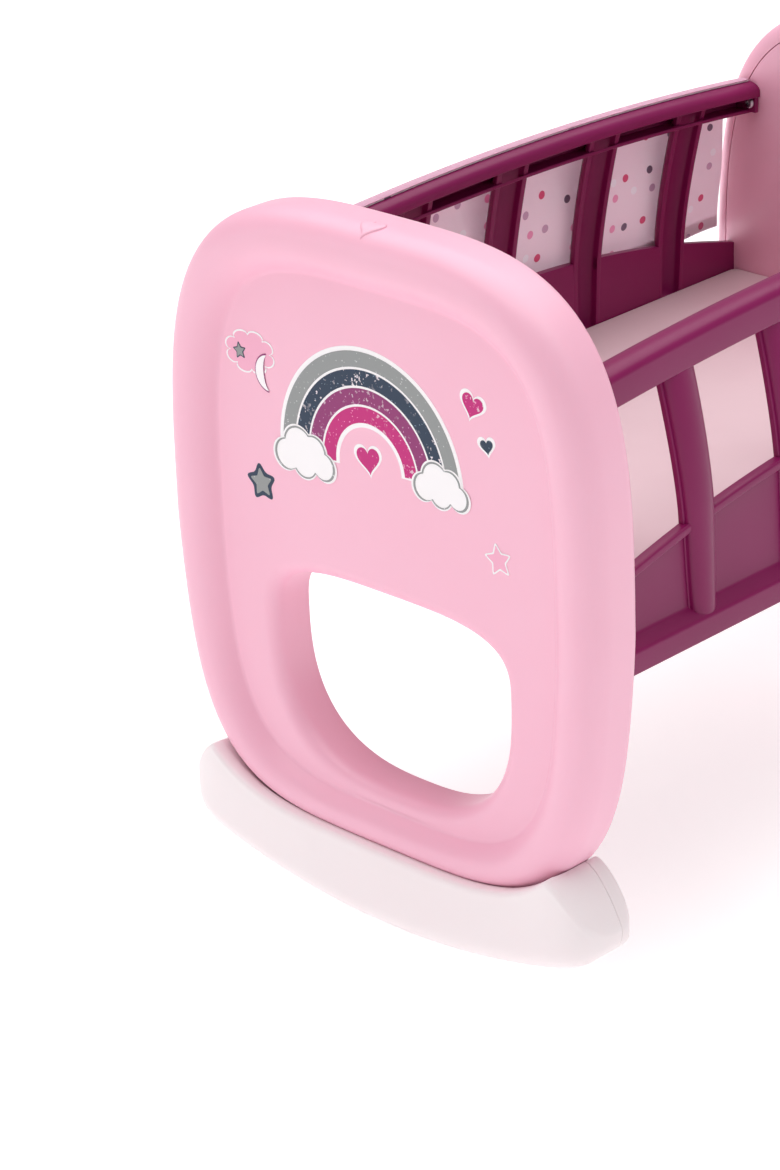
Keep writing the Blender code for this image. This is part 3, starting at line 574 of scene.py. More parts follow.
PINK_PLASTIC = MouldedPlastic(
    "pink_satin_plastic", tone(251, 188, 210), tone(249, 181, 204), 0.40, gloss=0.7, scatter=0.08
)
WHITE_PLASTIC = MouldedPlastic(
    "white_satin_plastic", tone(249, 238, 240), tone(245, 231, 234), 0.38, scatter=0.06,
    scuffed_below=9.0 * MM,
)
PLUM_PLASTIC = MouldedPlastic("plum_satin_plastic", tone(132, 20, 84), tone(116, 12, 70), 0.32, gloss=0.3)
CREAM_SHEET = PlainSheet("cream_matt_sheet", tone(222, 193, 199), tone(212, 178, 186))
# The dotted cloth's two colours are lighter than the cloth's own pale pink. They are partly its own colour
# and partly painted light, which makes up for the shade it hangs in outside the far frame.
PRINTED_COTTON = Cotton("dotted_cotton", tone(254, 224, 233), tone(246, 206, 219), dotted=True)
BAND_COTTON = Cotton("band_cotton", tone(232, 160, 186), tone(212, 134, 164))
BINDING_COTTON = Cotton("binding_cotton", tone(222, 140, 170), tone(198, 112, 146), thread=0.6 * MM)
ZINC = PlatedSteel("zinc_plated_steel", tone(205, 205, 208), tone(160, 160, 165))
WHITE_FOIL = PrintedFoil("white_foil", tone(255, 250, 252), tone(255, 255, 255))
GREY_FOIL = PrintedFoil("grey_foil", tone(150, 152, 152), tone(214, 214, 216), flecks=0.10)
NAVY_FOIL = PrintedFoil("navy_foil", tone(36, 54, 78), tone(120, 140, 160), flecks=0.10, wear=0.9)
NAVY_INK = PrintedFoil("navy_ink", tone(38, 56, 80), tone(80, 100, 124), flecks=0.03)
MAGENTA_FOIL = PrintedFoil("magenta_foil", tone(200, 28, 122), tone(246, 150, 200), flecks=0.10, wear=0.6)
PINK_FOIL = PrintedFoil("pink_foil", tone(248, 178, 204), tone(252, 200, 220), flecks=0.04)
PLUM_FOIL = PrintedFoil("plum_foil", tone(146, 48, 112), tone(220, 150, 196), flecks=0.10, wear=0.5)

Finish = MouldedPlastic | PrintedFoil | Cotton | PlainSheet | PlatedSteel


def clear_bench() -> None:
    """Return to object mode with nothing selected."""
    if bpy.context.object and bpy.context.object.mode != "OBJECT":
        bpy.ops.object.mode_set(mode="OBJECT")
    bpy.ops.object.select_all(action="DESELECT")


def take_up(item: bpy.types.Object) -> None:
    """Select one object alone and make it active.

    Args:
        item: the object.
    """
    clear_bench()
    item.select_set(True)
    bpy.context.view_layer.objects.active = item


def settled(name: str) -> bpy.types.Object:
    """Name the new active object and put its place, turn and scale into its mesh.

    Args:
        name: its name.

    Returns:
        The object.
    """
    bpy.ops.object.transform_apply(location=True, rotation=True, scale=True)
    item = bpy.context.object
    item.name = item.data.name = name
    return item


def apply_modifier(item: bpy.types.Object, kind: str, **settings: object) -> None:
    """Give an object a modifier and apply it.

    Args:
        item: the object.
        kind: the modifier's type.
        **settings: its settings.
    """
    take_up(item)
    modifier = item.modifiers.new(kind.title(), kind)
    for name, value in settings.items():
        setattr(modifier, name, value)
    bpy.ops.object.modifier_apply(modifier=modifier.name)


def cut(item: bpy.types.Object, tool: bpy.types.Object) -> None:
    """Cut a closed tool out of an object and put the tool away."""
    apply_modifier(item, "BOOLEAN", object=tool, operation="DIFFERENCE", solver="EXACT")
    bpy.data.objects.remove(tool, do_unlink=True)


def smooth(item: bpy.types.Object, angle: float = 32.0) -> None:
    """Shade an object smooth, with edges sharper than an angle in degrees left crisp."""
    take_up(item)
    bpy.ops.object.shade_smooth_by_angle(angle=math.radians(angle))


def copied(item: bpy.types.Object, name: str, turn: float = 0.0) -> bpy.types.Object:
    """A copy with its own mesh, turned about the upright axis.

    Args:
        item: the object to copy.
        name: name of the copy.
        turn: turn about the origin, in radians.

    Returns:
        The copy.
    """
    take_up(item)
    bpy.ops.object.duplicate(linked=False)
    bpy.context.object.rotation_euler = (0.0, 0.0, turn)
    return settled(name)


def joined(items: Sequence[bpy.types.Object]) -> bpy.types.Object:
    """Several objects as one, in the first one.

    Args:
        items: the objects.

    Returns:
        The first object, which holds them all.
    """
    take_up(items[0])
    for item in items[1:]:
        item.select_set(True)
    bpy.ops.object.join()
    return items[0]


def hand_over(item: bpy.types.Object, finish: Finish, stands_for: Sequence[str] = ()) -> None:
    """Dress a finished piece and set it on the cradle's body.

    Args:
        item: the piece.
        finish: its finish.
        stands_for: CAD nodes that it replaces.
    """
    made = bpy.data.materials.get(finish.name) or finish.material()
    item.data.materials.clear()
    item.data.materials.append(made)
    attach(item, "root")
    if stands_for:
        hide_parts(*stands_for)
    log.info("%s: %d faces, %s", item.name, len(item.data.polygons), finish.name)


def hand_over_pair(
    item: bpy.types.Object, places: type[Enum], part: str, finish: Finish, node: str = ""
) -> None:
    """Name a piece, copy it half round to the other end or side and dress both.

    Args:
        item: the piece at the first place.
        places: the two places, first the one where the piece is.
        part: the rest of the pieces' names.
        finish: their finish.
        node: the rest of the names of the CAD nodes that they replace, or nothing.
    """
    first, second = places
    item.name = item.data.name = f"{first.value}_{part}"
    twin = copied(item, f"{second.value}_{part}", math.pi)
    for piece, place in ((item, first), (twin, second)):
        hand_over(piece, finish, [f"{place.value}_{node}"] if node else [])


class Workpiece:
    """A piece on the bench: a primitive circle that edit-mode operators grow ring by ring."""

    def __init__(self, name: str, ring: Sequence[Point], capped: bool) -> None:
        """Start a piece from its first ring.

        Args:
            name: name of the piece.
            ring: places of the first ring's points.
            capped: whether a face closes this ring.
        """
        clear_bench()
        centre = sum((Vector(point) for point in ring), Vector()) / len(ring)
        reach = max((Vector(point) - centre).length for point in ring)
        bpy.ops.mesh.primitive_circle_add(vertices=len(ring), radius=reach, location=centre)
        self.item = settled(name)
        self.edge = list(range(len(ring)))
        bpy.ops.object.mode_set(mode="EDIT")
        bpy.ops.mesh.select_all(action="SELECT")
        self.set_down(ring)
        if capped:
            bpy.ops.mesh.edge_face_add()

    def set_down(self, ring: Sequence[Point]) -> None:
        """Put the points of the open edge in their places.

        Args:
            ring: places of the points.
        """
        mesh = bmesh.from_edit_mesh(self.item.data)
        mesh.verts.ensure_lookup_table()
        for index, point in zip(self.edge, ring):
            mesh.verts[index].co = point
        bmesh.update_edit_mesh(self.item.data)

    def grow(self, ring: Sequence[Point]) -> None:
        """Extrude the open edge to a new ring.

        Args:
            ring: places of the new ring's points, as many as before.
        """
        bpy.ops.mesh.extrude_edges_indiv()
        mesh = bmesh.from_edit_mesh(self.item.data)
        mesh.verts.index_update()
        mesh.verts.ensure_lookup_table()
        fresh = []
        for index in self.edge:
            old = mesh.verts[index]
            ends = (edge.other_vert(old) for edge in old.link_edges)
            fresh.append(next(end.index for end in ends if end.select))
        self.edge = fresh
        self.set_down(ring)

    def close(self, loft: Loft, first: Sequence[Point]) -> None:
        """Close the open edge with a face or a fan of faces, or join it to the first ring.

        Args:
            loft: how the piece is closed.
            first: places of the first ring's points.
        """
        if loft is Loft.RING:
            self.grow(first)
            bpy.ops.mesh.select_all(action="SELECT")
            bpy.ops.mesh.remove_doubles(threshold=WELD)
        else:
            bpy.ops.mesh.edge_face_add()
        if loft is Loft.DOME:
            bpy.ops.mesh.poke()

    def done(self, angle: float) -> bpy.types.Object:
        """Leave edit mode with faces outwards and smooth shading.

        Args:
            angle: edges sharper than this, in degrees, stay crisp.

        Returns:
            The finished object.
        """
        bpy.ops.mesh.select_all(action="SELECT")
        bpy.ops.mesh.normals_make_consistent(inside=False)
        bpy.ops.object.mode_set(mode="OBJECT")
        smooth(self.item, angle)
        return self.item


def lofted(
    name: str, rings: Sequence[Sequence[Point]], angle: float = 32.0, loft: Loft = Loft.CAPPED
) -> bpy.types.Object:
    """Model a piece from ring to ring.

    Args:
        name: name of the piece.
        rings: its rings in order, all with the same number of points.
        angle: edges sharper than this, in degrees, stay crisp.
        loft: how it is closed.

    Returns:
        The piece.
    """
    piece = Workpiece(name, rings[0], loft is Loft.CAPPED)
    for ring in rings[1:]:
        piece.grow(ring)
    piece.close(loft, rings[0])
    return piece.done(angle)


def arc(middle: Flat, reach: Flat, start: float, end: float, steps: int) -> list[Flat]:
    """Points along part of an ellipse.

    Args:
        middle: its middle.
        reach: its half sizes, negative to turn that way round.
        start: first angle in degrees.
        end: last angle in degrees.
        steps: facets between them.

    Returns:
        The points, one more than the facets.
    """
    points = []
    for step in range(steps + 1):
        angle = math.radians(start + (end - start) * step / steps)
        points.append((middle[0] + reach[0] * math.cos(angle), middle[1] + reach[1] * math.sin(angle)))
    return points


def rounded(corners: Sequence[Corner], steps: int = 4, limit: float = 0.48) -> list[Flat]:
    """An outline with its corners rounded, each by its own radius.

    Args:
        corners: place and radius of each corner, in order round the outline.
        steps: facets in each rounded corner.
        limit: largest share of an edge that one corner may take.

    Returns:
        The points of the rounded outline.
    """
    points = []
    count = len(corners)
    for index, (place, radius) in enumerate(corners):
        if radius <= 0:
            points.append(place)
            continue
        middle = Vector(place)
        before = Vector(corners[index - 1][0]) - middle
        after = Vector(corners[(index + 1) % count][0]) - middle
        start = middle + before.normalized() * min(radius, before.length * limit)
        end = middle + after.normalized() * min(radius, after.length * limit)
        for step in range(steps + 1):
            share = step / steps
            spot = start * (1 - share) ** 2 + middle * (2 * share * (1 - share)) + end * share ** 2
            points.append((spot.x, spot.y))
    return points


@dataclass(frozen=True)
class Oval:
    """A rounded outline with unlike upper and lower halves, in the X-Z plane."""

    half_width: float
    widest: float
    rise: float
    drop: float
    upper_power: float
    lower_power: float
    taper: float = 0.0
    taper_power: float = 1.25

    def grown(self, by: float) -> "Oval":
        """The same outline moved out all round, or in where the distance is negative."""
        return replace(self, half_width=self.half_width + by, rise=self.rise + by, drop=self.drop + by)

    def blended(self, other: "Oval", share: float) -> "Oval":
        """An outline part of the way to another one."""
        pairs = zip(astuple(self), astuple(other))
        return Oval(*(first + (second - first) * share for first, second in pairs))

    def narrowing(self, fall: float) -> float:
        """Share of the full width that is left at a share of the way down the lower half."""
        return 1 - self.taper * max(fall, 0.0) ** self.taper_power

    def ring(self, along: float, count: int = 192) -> list[Point]:
        """Evenly turned points round the outline at one place along the cradle.

        Args:
            along: place along the cradle.
            count: number of points.

        Returns:
            The points.
        """
        points = []
        for index in range(count):
            angle = math.tau * index / count
            cosine = math.cos(angle)
            sine = math.sin(angle)
            power = self.upper_power if sine >= 0 else self.lower_power
            height = self.rise if sine >= 0 else self.drop
            reach = (abs(cosine) ** power + abs(sine) ** power) ** (-1 / power)
            width = self.half_width * self.narrowing(-reach * sine)
            points.append((width * reach * cosine, along, self.widest + height * reach * sine))
        return points

    def lower_edge(self, across: float, halvings: int = 30) -> float:
        """Height of the lower half at a distance from the middle.

        Args:
            across: the distance.
            halvings: how often the search for the height is halved.

        Returns:
            The height.
        """
        power = self.lower_power
        low, high = 0.0, 1.0
        for _ in range(halvings):
            fall = (low + high) / 2
            if self.half_width * self.narrowing(fall) * (1 - fall ** power) ** (1 / power) > abs(across):
                low = fall
            else:
                high = fall
        return self.widest - self.drop * low


OUTLINE = Oval(160.0 * MM, 211.0 * MM, 196.5 * MM, 168.0 * MM, 3.45, 4.25, 0.105)
RECESS = Oval(125.4 * MM, 202.6 * MM, 169.9 * MM, 137.2 * MM, 3.95, 3.9, 0.07)
HAND_HOLE = Oval(87.0 * MM, 158.0 * MM, 36.8 * MM, 83.2 * MM, 3.45, 2.6)
HALF_LENGTH = 268.0 * MM
INNER_HALF = 223.0 * MM


def at_end(depth: float) -> float:
    """Place along the cradle of a depth behind the foot end's foremost plane."""
    return depth - HALF_LENGTH


def ringed(path: Iterable[tuple[Oval, float, float]]) -> list[list[Point]]:
    """Rings through a path of outlines, how far each is grown and its depth behind the foot end."""
    return [outline.grown(by).ring(at_end(depth)) for outline, by, depth in path]


@dataclass
class EndPanel:
    """One moulded end panel: front shell, back cover and the raised heart on its rim."""

    setback: float = 6.0 * MM
    depth: float = 39.0 * MM
    wall: float = 2.5 * MM
    front_radius: float = 17.0 * MM
    back_radius: float = 8.0 * MM
    crest: float = 0.45
    recess_depth: float = 11.0 * MM
    fall_power: float = 2.3
    crease: float = 1.5 * MM
    hole_fillet: float = 9.5 * MM
    hole_lip: float = 1.0 * MM
    cover_thick: float = 2.5 * MM
    cover_lap: float = 9.5 * MM
    cover_bevel: float = 0.7 * MM
    seat_gap: float = 0.3 * MM
    rim_top: float = 35.0 * MM
    heart_width: float = 16.0 * MM
    heart_depth: float = 17.5 * MM
    heart_raise: float = 1.1 * MM
    heart_skirt: float = 1.02
    heart_angle: float = 60.0
    heart_steps: tuple[Flat, ...] = ((1.0, 0.45), (0.96, 0.8), (0.88, 1.0), (0.5, 1.0))
    rim_steps: int = 14
    slope_steps: int = 12
    crease_steps: int = 6
    back_steps: int = 8
    hole_steps: int = 9
    edge_angle: float = 40.0

    @property
    def back(self) -> float:
        """Depth of the panel's back."""
        return self.setback + self.depth

    @property
    def plane(self) -> float:
        """Depth of the recess plane."""
        return self.setback + self.recess_depth

    def between(self, share: float, depth: float) -> list[Point]:
        """A ring part of the way from the outline to the recess, at a depth."""
        return OUTLINE.blended(RECESS, share).ring(at_end(depth))

    def front_rings(self) -> list[list[Point]]:
        """Rings from the side over the rim, down into the recess and round its soft crease.

        Returns:
            The rings in order.
        """
        crown = (self.crest, self.setback + self.front_radius)
        rim = arc(crown, (-self.crest, -self.front_radius), 0.0, 90.0, self.rim_steps)
        rings = [self.between(share, depth) for share, depth in rim]
        span = (1 - self.crest) * (OUTLINE.half_width - RECESS.half_width)
        soft = 1 - self.crease / span
        for step in range(1, self.slope_steps + 1):
            fall = soft * step / self.slope_steps
            depth = self.setback + self.recess_depth * fall ** self.fall_power
            rings.append(self.between(self.crest + (1 - self.crest) * fall, depth))
        start = self.recess_depth * soft ** self.fall_power
        for step in range(1, self.crease_steps + 1):
            share = step / self.crease_steps
            inward = self.crease * (2 * share - 1)
            depth = self.setback + start * (1 - share) ** 2 + self.recess_depth * (1 - (1 - share) ** 2)
            if inward >= 0:
                rings.append(RECESS.grown(-inward).ring(at_end(depth)))
            else:
                rings.append(self.between(1 + (1 - self.crest) * inward / span, depth))
        return rings

    def shell(self) -> bpy.types.Object:
        """Model the front shell with its wall.

        Returns:
            The shell.
        """
        wall, back, plane = self.wall, self.back, self.plane
        curve, fillet, lip = self.back_radius, self.hole_fillet, self.hole_lip
        start = (OUTLINE, -self.cover_lap, back)
        side = arc((back - curve, curve), (curve, -curve), 0.0, 90.0, self.back_steps)
        hole = arc((plane + fillet, fillet), (-fillet, -fillet), 0.0, 90.0, self.hole_steps)
        rings = ringed([start, *((OUTLINE, -inset, depth) for depth, inset in side)])
        rings += self.front_rings()
        rings += ringed((HAND_HOLE, grow, depth) for depth, grow in hole)
        rings += ringed([
            (HAND_HOLE, 0.0, back - lip),
            (HAND_HOLE, EASE * lip, back - EASE * lip),
            (HAND_HOLE, lip, back),
            (HAND_HOLE, wall, back),
            (HAND_HOLE, wall, plane + fillet + wall),
            (HAND_HOLE, wall + fillet, plane + wall),
            (RECESS, wall, plane + wall),
            (OUTLINE.blended(RECESS, self.crest), 0.0, self.setback + wall),
            (OUTLINE, -wall, self.setback + self.front_radius),
            (OUTLINE, -wall, back - curve),
            (OUTLINE, -curve, back - wall),
            (OUTLINE, -self.cover_lap, back - wall),
        ])
        return lofted("foot_panel", rings, self.edge_angle, Loft.RING)

    def cover(self) -> bpy.types.Object:
        """Model the back cover with its eased edges.

        Returns:
            The cover.
        """
        outer = OUTLINE.grown(-self.cover_lap - self.seat_gap)
        inner = HAND_HOLE.grown(self.wall + self.seat_gap)
        back, bevel = self.back, self.cover_bevel
        rings = ringed([
            (outer, 0.0, back - self.cover_thick),
            (outer, 0.0, back - bevel),
            (outer, -EASE * bevel, back - EASE * bevel),
            (outer, -bevel, back),
            (inner, bevel, back),
            (inner, EASE * bevel, back - EASE * bevel),
            (inner, 0.0, back - bevel),
            (inner, 0.0, back - self.cover_thick),
        ])
        return lofted("foot_cover", rings, self.edge_angle, Loft.RING)

    def crown_height(self, depth: float) -> float:
        """Height of the rim's crown at a depth, in the middle of the panel.

        Args:
            depth: depth behind the foot end's foremost plane.

        Returns:
            The height.
        """
        top = OUTLINE.widest + OUTLINE.rise
        rise = max(1 - (depth - self.setback) / self.front_radius, 0.0)
        return top - self.rim_top * self.crest * (1 - math.sqrt(1 - rise ** 2))

    def heart(self) -> bpy.types.Object:
        """Model the raised heart that follows the crown of the rim.

        Returns:
            The heart.
        """
        def ring(scale: float, lift: float) -> list[Point]:
            """The heart's outline at a scale and a height over the crown.

            Args:
                scale: share of the full size.
                lift: height over the crown.

            Returns:
                The points.
            """
            points = []
            for across, along in heart_outline(self.heart_width * scale):
                depth = self.heart_depth + along
                points.append((-across, at_end(depth), self.crown_height(depth) + lift))
            return points

        rings = [ring(self.heart_skirt, -self.wall / 2)]
        rings += [ring(scale, high * self.heart_raise) for scale, high in self.heart_steps]
        return lofted("foot_rim_heart", rings, self.heart_angle, Loft.DOME)

    def build(self) -> None:
        """Model the pieces once, copy them to the head end and dress them."""
        made = ((self.shell(), "panel", "panel_shell"), (self.cover(), "cover", "panel_cover"),
                (self.heart(), "rim_heart", ""))
        for item, part, node in made:
            hand_over_pair(item, End, part, PINK_PLASTIC, node)


def heart_outline(width: float, count: int = 64) -> list[Flat]:
    """A heart of a width about its middle, point down, by the usual sum of four waves.

    Args:
        width: its width.
        count: number of points.

    Returns:
        Points as steps across and up.
    """
    unit = width / 32
    points = []
    for index in range(count):
        angle = math.tau * (index + 0.5) / count
        up = 13 * math.cos(angle) - 5 * math.cos(2 * angle) - 2 * math.cos(3 * angle) - math.cos(4 * angle)
        points.append((16 * math.sin(angle) ** 3 * unit, (up + 2.5) * unit))
    return points


def star_outline(radius: float, waist: float = 0.48, soft: float = 0.12) -> list[Flat]:
    """A five-pointed star about its middle with softened points.

    Args:
        radius: distance from the middle to a point.
        waist: distance of the notches as a share of the radius.
        soft: rounding of the points as a share of the radius.

    Returns:
        Points as steps across and up.
    """
    corners = []
    for index in range(5):
        for turn, reach, easing in ((2 * index, radius, soft), (2 * index + 1, radius * waist, soft / 2)):
            angle = math.pi / 2 + math.pi * turn / 5
            corners.append(((reach * math.cos(angle), reach * math.sin(angle)), radius * easing))
    return rounded(corners)


def cloud_outline(width: float, count: int = 96) -> list[Flat]:
    """A puffy cloud about its middle, made of round lobes over a flatter foot.

    Args:
        width: its width.
        count: number of points.

    Returns:
        Points as steps across and up.
    """
    lobes = (
        (-0.30, -0.06, 0.20), (-0.10, 0.10, 0.24), (0.16, 0.08, 0.20), (0.32, -0.08, 0.18),
        (0.0, -0.10, 0.20),
    )
    points = []
    for index in range(count):
        angle = math.tau * index / count
        ray = Vector((math.cos(angle), math.sin(angle)))
        reach = 0.0
        for across, up, radius in lobes:
            middle = Vector((across, up))
            along = middle.dot(ray)
            off = middle.length_squared - along ** 2
            if off < radius ** 2:
                reach = max(reach, along + math.sqrt(radius ** 2 - off))
        points.append((ray.x * reach * width, ray.y * reach * width))
    return points


def puff_outline(width: float, height: float, inset: float = 0.0, lobes: int = 8) -> list[Flat]:
    """A cloud about its middle with round lobes all the way round.

    Args:
        width: its width.
        height: its height.
        inset: how far the outline is drawn in.
        lobes: number of lobes.

    Returns:
        Points as steps across and up.
    """
    count = 12 * lobes
    points = []
    for index in range(count):
        angle = math.tau * index / count
        swell = 0.80 + 0.20 * math.sqrt(abs(math.sin(lobes * angle / 2)))
        across = (width / 2 * swell - inset) * math.cos(angle)
        points.append((across, (height / 2 * swell - inset) * math.sin(angle)))
    return points


def crescent_outline(
    height: float, bulge: float, thick: float, lean: float = 80.0, steps: int = 27
) -> list[Flat]:
    """A crescent that opens to the left, about the middle between its tips.

    Args:
        height: distance between its tips.
        bulge: how far its outer edge swings out.
        thick: how far its inner edge lies behind its outer edge in the middle.
        lean: angle of its tips above and below the level, in degrees.
        steps: facets along each edge.

    Returns:
        Points as steps across and up.
    """
    tall = height / 2 / math.sin(math.radians(lean))
    outer, inner = (arc((0.0, 0.0), (reach, tall), -lean, lean, steps) for reach in (bulge, bulge - thick))
    return outer + inner[-2:0:-1]


def band_outline(inner: float, outer: float, start: float, end: float, steps: int = 71) -> list[Flat]:
    """A band between two radii and two angles about the origin.

    Args:
        inner: smaller radius.
        outer: larger radius.
        start: first angle in degrees.
        end: last angle in degrees.
        steps: facets along each edge.

    Returns:
        Points as steps across and up.
    """
    edges = [arc((0.0, 0.0), (radius, radius), start, end, steps) for radius in (outer, inner)]
    return edges[0] + edges[1][::-1]


@dataclass(frozen=True)
class Sticker:
    """One printed shape on the recess: filled, or a line where it has an inner edge."""

    name: str
    outline: list[Flat]
    spot: Flat
    layer: int
    finish: PrintedFoil
    tilt: float = 0.0
    inner: list[Flat] | None = None


@dataclass
class PanelStickers:
    """The stickers on the foot panel's recess: an arch of coloured bands, clouds, stars and hearts."""

    plane: float = 17.0 * MM
    film: float = 0.12 * MM
    sunk: float = 0.02 * MM
    edge_angle: float = 30.0
    arch_middle: Flat = (-6.0 * MM, 270.0 * MM)
    arch_radius: float = 66.0 * MM
    arch_band: float = 9.0 * MM
    arch_gap: float = 1.4 * MM
    arch_tilt: float = 4.0
    feet_slope: float = 0.07
    border: float = 2.6 * MM
    cloud_line: float = 3.0 * MM
    heart_line: float = 4.0 * MM
    cloud_spot: Flat = (-95.5 * MM, 316.0 * MM)
    cloud_star_spot: Flat = (-103.5 * MM, 315.0 * MM)
    crescent_spot: Flat = (-80.8 * MM, 306.8 * MM)
    grey_star_spot: Flat = (-91.5 * MM, 240.0 * MM)
    pale_star_spot: Flat = (86.0 * MM, 242.0 * MM)

    def lay(self, sticker: Sticker) -> None:
        """Lay one sticker on the recess plane, over those in lower layers, and dress it.

        Args:
            sticker: the sticker.
        """
        under = sticker.layer * self.film if sticker.layer else -self.sunk
        over = (sticker.layer + 1) * self.film
        turn = Matrix.Rotation(math.radians(sticker.tilt), 2)

        def ring(outline: list[Flat], raised: float) -> list[Point]:
            """An outline turned in the plane and moved to its place, raised off the recess.

            Args:
                outline: steps across and up from the sticker's spot.
                raised: height over the recess plane.

            Returns:
                The points.
            """
            spots = [turn @ Vector(point) for point in outline]
            along = at_end(self.plane - raised)
            return [(sticker.spot[0] + spot.x, along, sticker.spot[1] + spot.y) for spot in spots]

        rings = [ring(sticker.outline, under), ring(sticker.outline, over)]
        if sticker.inner:
            rings += [ring(sticker.inner, over), ring(sticker.inner, under)]
        loft = Loft.RING if sticker.inner else Loft.CAPPED
        made = lofted(sticker.name, rings, self.edge_angle, loft)
        hand_over(made, sticker.finish)

    def arch(self) -> list[Sticker]:
        """The arch of four bands on its white border.

        Returns:
            The stickers.
        """
        bands = (GREY_FOIL, NAVY_FOIL, PLUM_FOIL, MAGENTA_FOIL)
        step = self.arch_band + self.arch_gap
        outer = self.arch_radius
        inner = outer - len(bands) * step + self.arch_gap
        edge = math.degrees(self.border / outer)
        ground = band_outline(inner - self.border, outer + self.border, -edge, 180 + edge)
        made = [Sticker("arch_border", ground, self.arch_middle, 0, WHITE_FOIL, self.arch_tilt)]
        for index, finish in enumerate(bands):
            far = outer - index * step
            band = band_outline(far - self.arch_band, far, 0.0, 180.0)
            name = f"arch_band_{index + 1}"
            made.append(Sticker(name, band, self.arch_middle, 1, finish, self.arch_tilt))
        return made

    def feet(self) -> list[Sticker]:
        """A cloud over each foot of the arch, and hearts under and beside it.

        Returns:
            The stickers.
        """
        made = []
        across, up = self.arch_middle
        for label, place, width in (("left", -50.0 * MM, 46.0 * MM), ("right", 52.0 * MM, 40.0 * MM)):
            spot = (across + place, up - 1.0 * MM + place * self.feet_slope)
            outer, middle, inner = (cloud_outline(width + by * self.cloud_line) for by in (1, 0, -1))
            made.append(Sticker(f"arch_cloud_line_{label}", middle, spot, 3, GREY_FOIL, inner=inner))
            made.append(Sticker(f"arch_cloud_{label}", outer, spot, 2, WHITE_FOIL))
        hearts = (
            ("middle", -1.0 * MM, 4.0 * MM, 17.0 * MM, MAGENTA_FOIL, 8.0),
            ("right", 76.0 * MM, 54.0 * MM, 15.0 * MM, MAGENTA_FOIL, -14.0),
            ("small", 86.0 * MM, 34.0 * MM, 9.0 * MM, NAVY_FOIL, 12.0),
        )
        for label, aside, above, width, finish, tilt in hearts:
            spot = (across + aside, up + above)
            ground = heart_outline(width + self.heart_line)
            made.append(Sticker(f"heart_border_{label}", ground, spot, 0, WHITE_FOIL, tilt))
            made.append(Sticker(f"heart_{label}", heart_outline(width), spot, 1, finish, tilt))
        return made

    def small(self) -> list[Sticker]:
        """The small cloud, crescent and stars near the sides of the recess.

        Returns:
            The stickers.
        """
        wide, tall, line = 40.0 * MM, 26.0 * MM, 1.0 * MM
        rim, inner, fill = (puff_outline(wide, tall, inset) for inset in (0.0, line, 0.6 * line))
        edge = crescent_outline(22.4 * MM, 11.0 * MM, 7.2 * MM)
        moon = crescent_outline(20.6 * MM, 10.4 * MM, 6.0 * MM)
        pale, pale_rim = star_outline(9.0 * MM, 0.48, 0.16), star_outline(10.6 * MM, 0.5, 0.2)
        star_rim, star = star_outline(5.6 * MM, 0.5, 0.2), star_outline(4.4 * MM, 0.48, 0.16)
        navy, grey = star_outline(13.0 * MM, 0.55, 0.34), star_outline(9.2 * MM, 0.50, 0.2)
        return [
            Sticker("side_cloud_fill", fill, self.cloud_spot, 0, PINK_FOIL, 6.0),
            Sticker("side_cloud", rim, self.cloud_spot, 1, WHITE_FOIL, 6.0, inner),
            Sticker("cloud_star_line", star_rim, self.cloud_star_spot, 1, NAVY_INK, 10.0),
            Sticker("cloud_star", star, self.cloud_star_spot, 2, GREY_FOIL, 10.0),
            Sticker("crescent_line", edge, self.crescent_spot, 2, PLUM_FOIL, 183.0),
            Sticker("crescent", moon, self.crescent_spot, 3, WHITE_FOIL, 183.0),
            Sticker("navy_star", navy, self.grey_star_spot, 0, NAVY_INK, 8.0),
            Sticker("grey_star", grey, self.grey_star_spot, 1, GREY_FOIL, 8.0),
            Sticker("pale_star_fill", pale, self.pale_star_spot, 0, PINK_FOIL, 12.0),
            Sticker("pale_star", pale_rim, self.pale_star_spot, 1, WHITE_FOIL, 12.0, pale),
        ]

    def build(self) -> None:
        """Lay every sticker."""
        for sticker in self.arch() + self.feet() + self.small():
            self.lay(sticker)


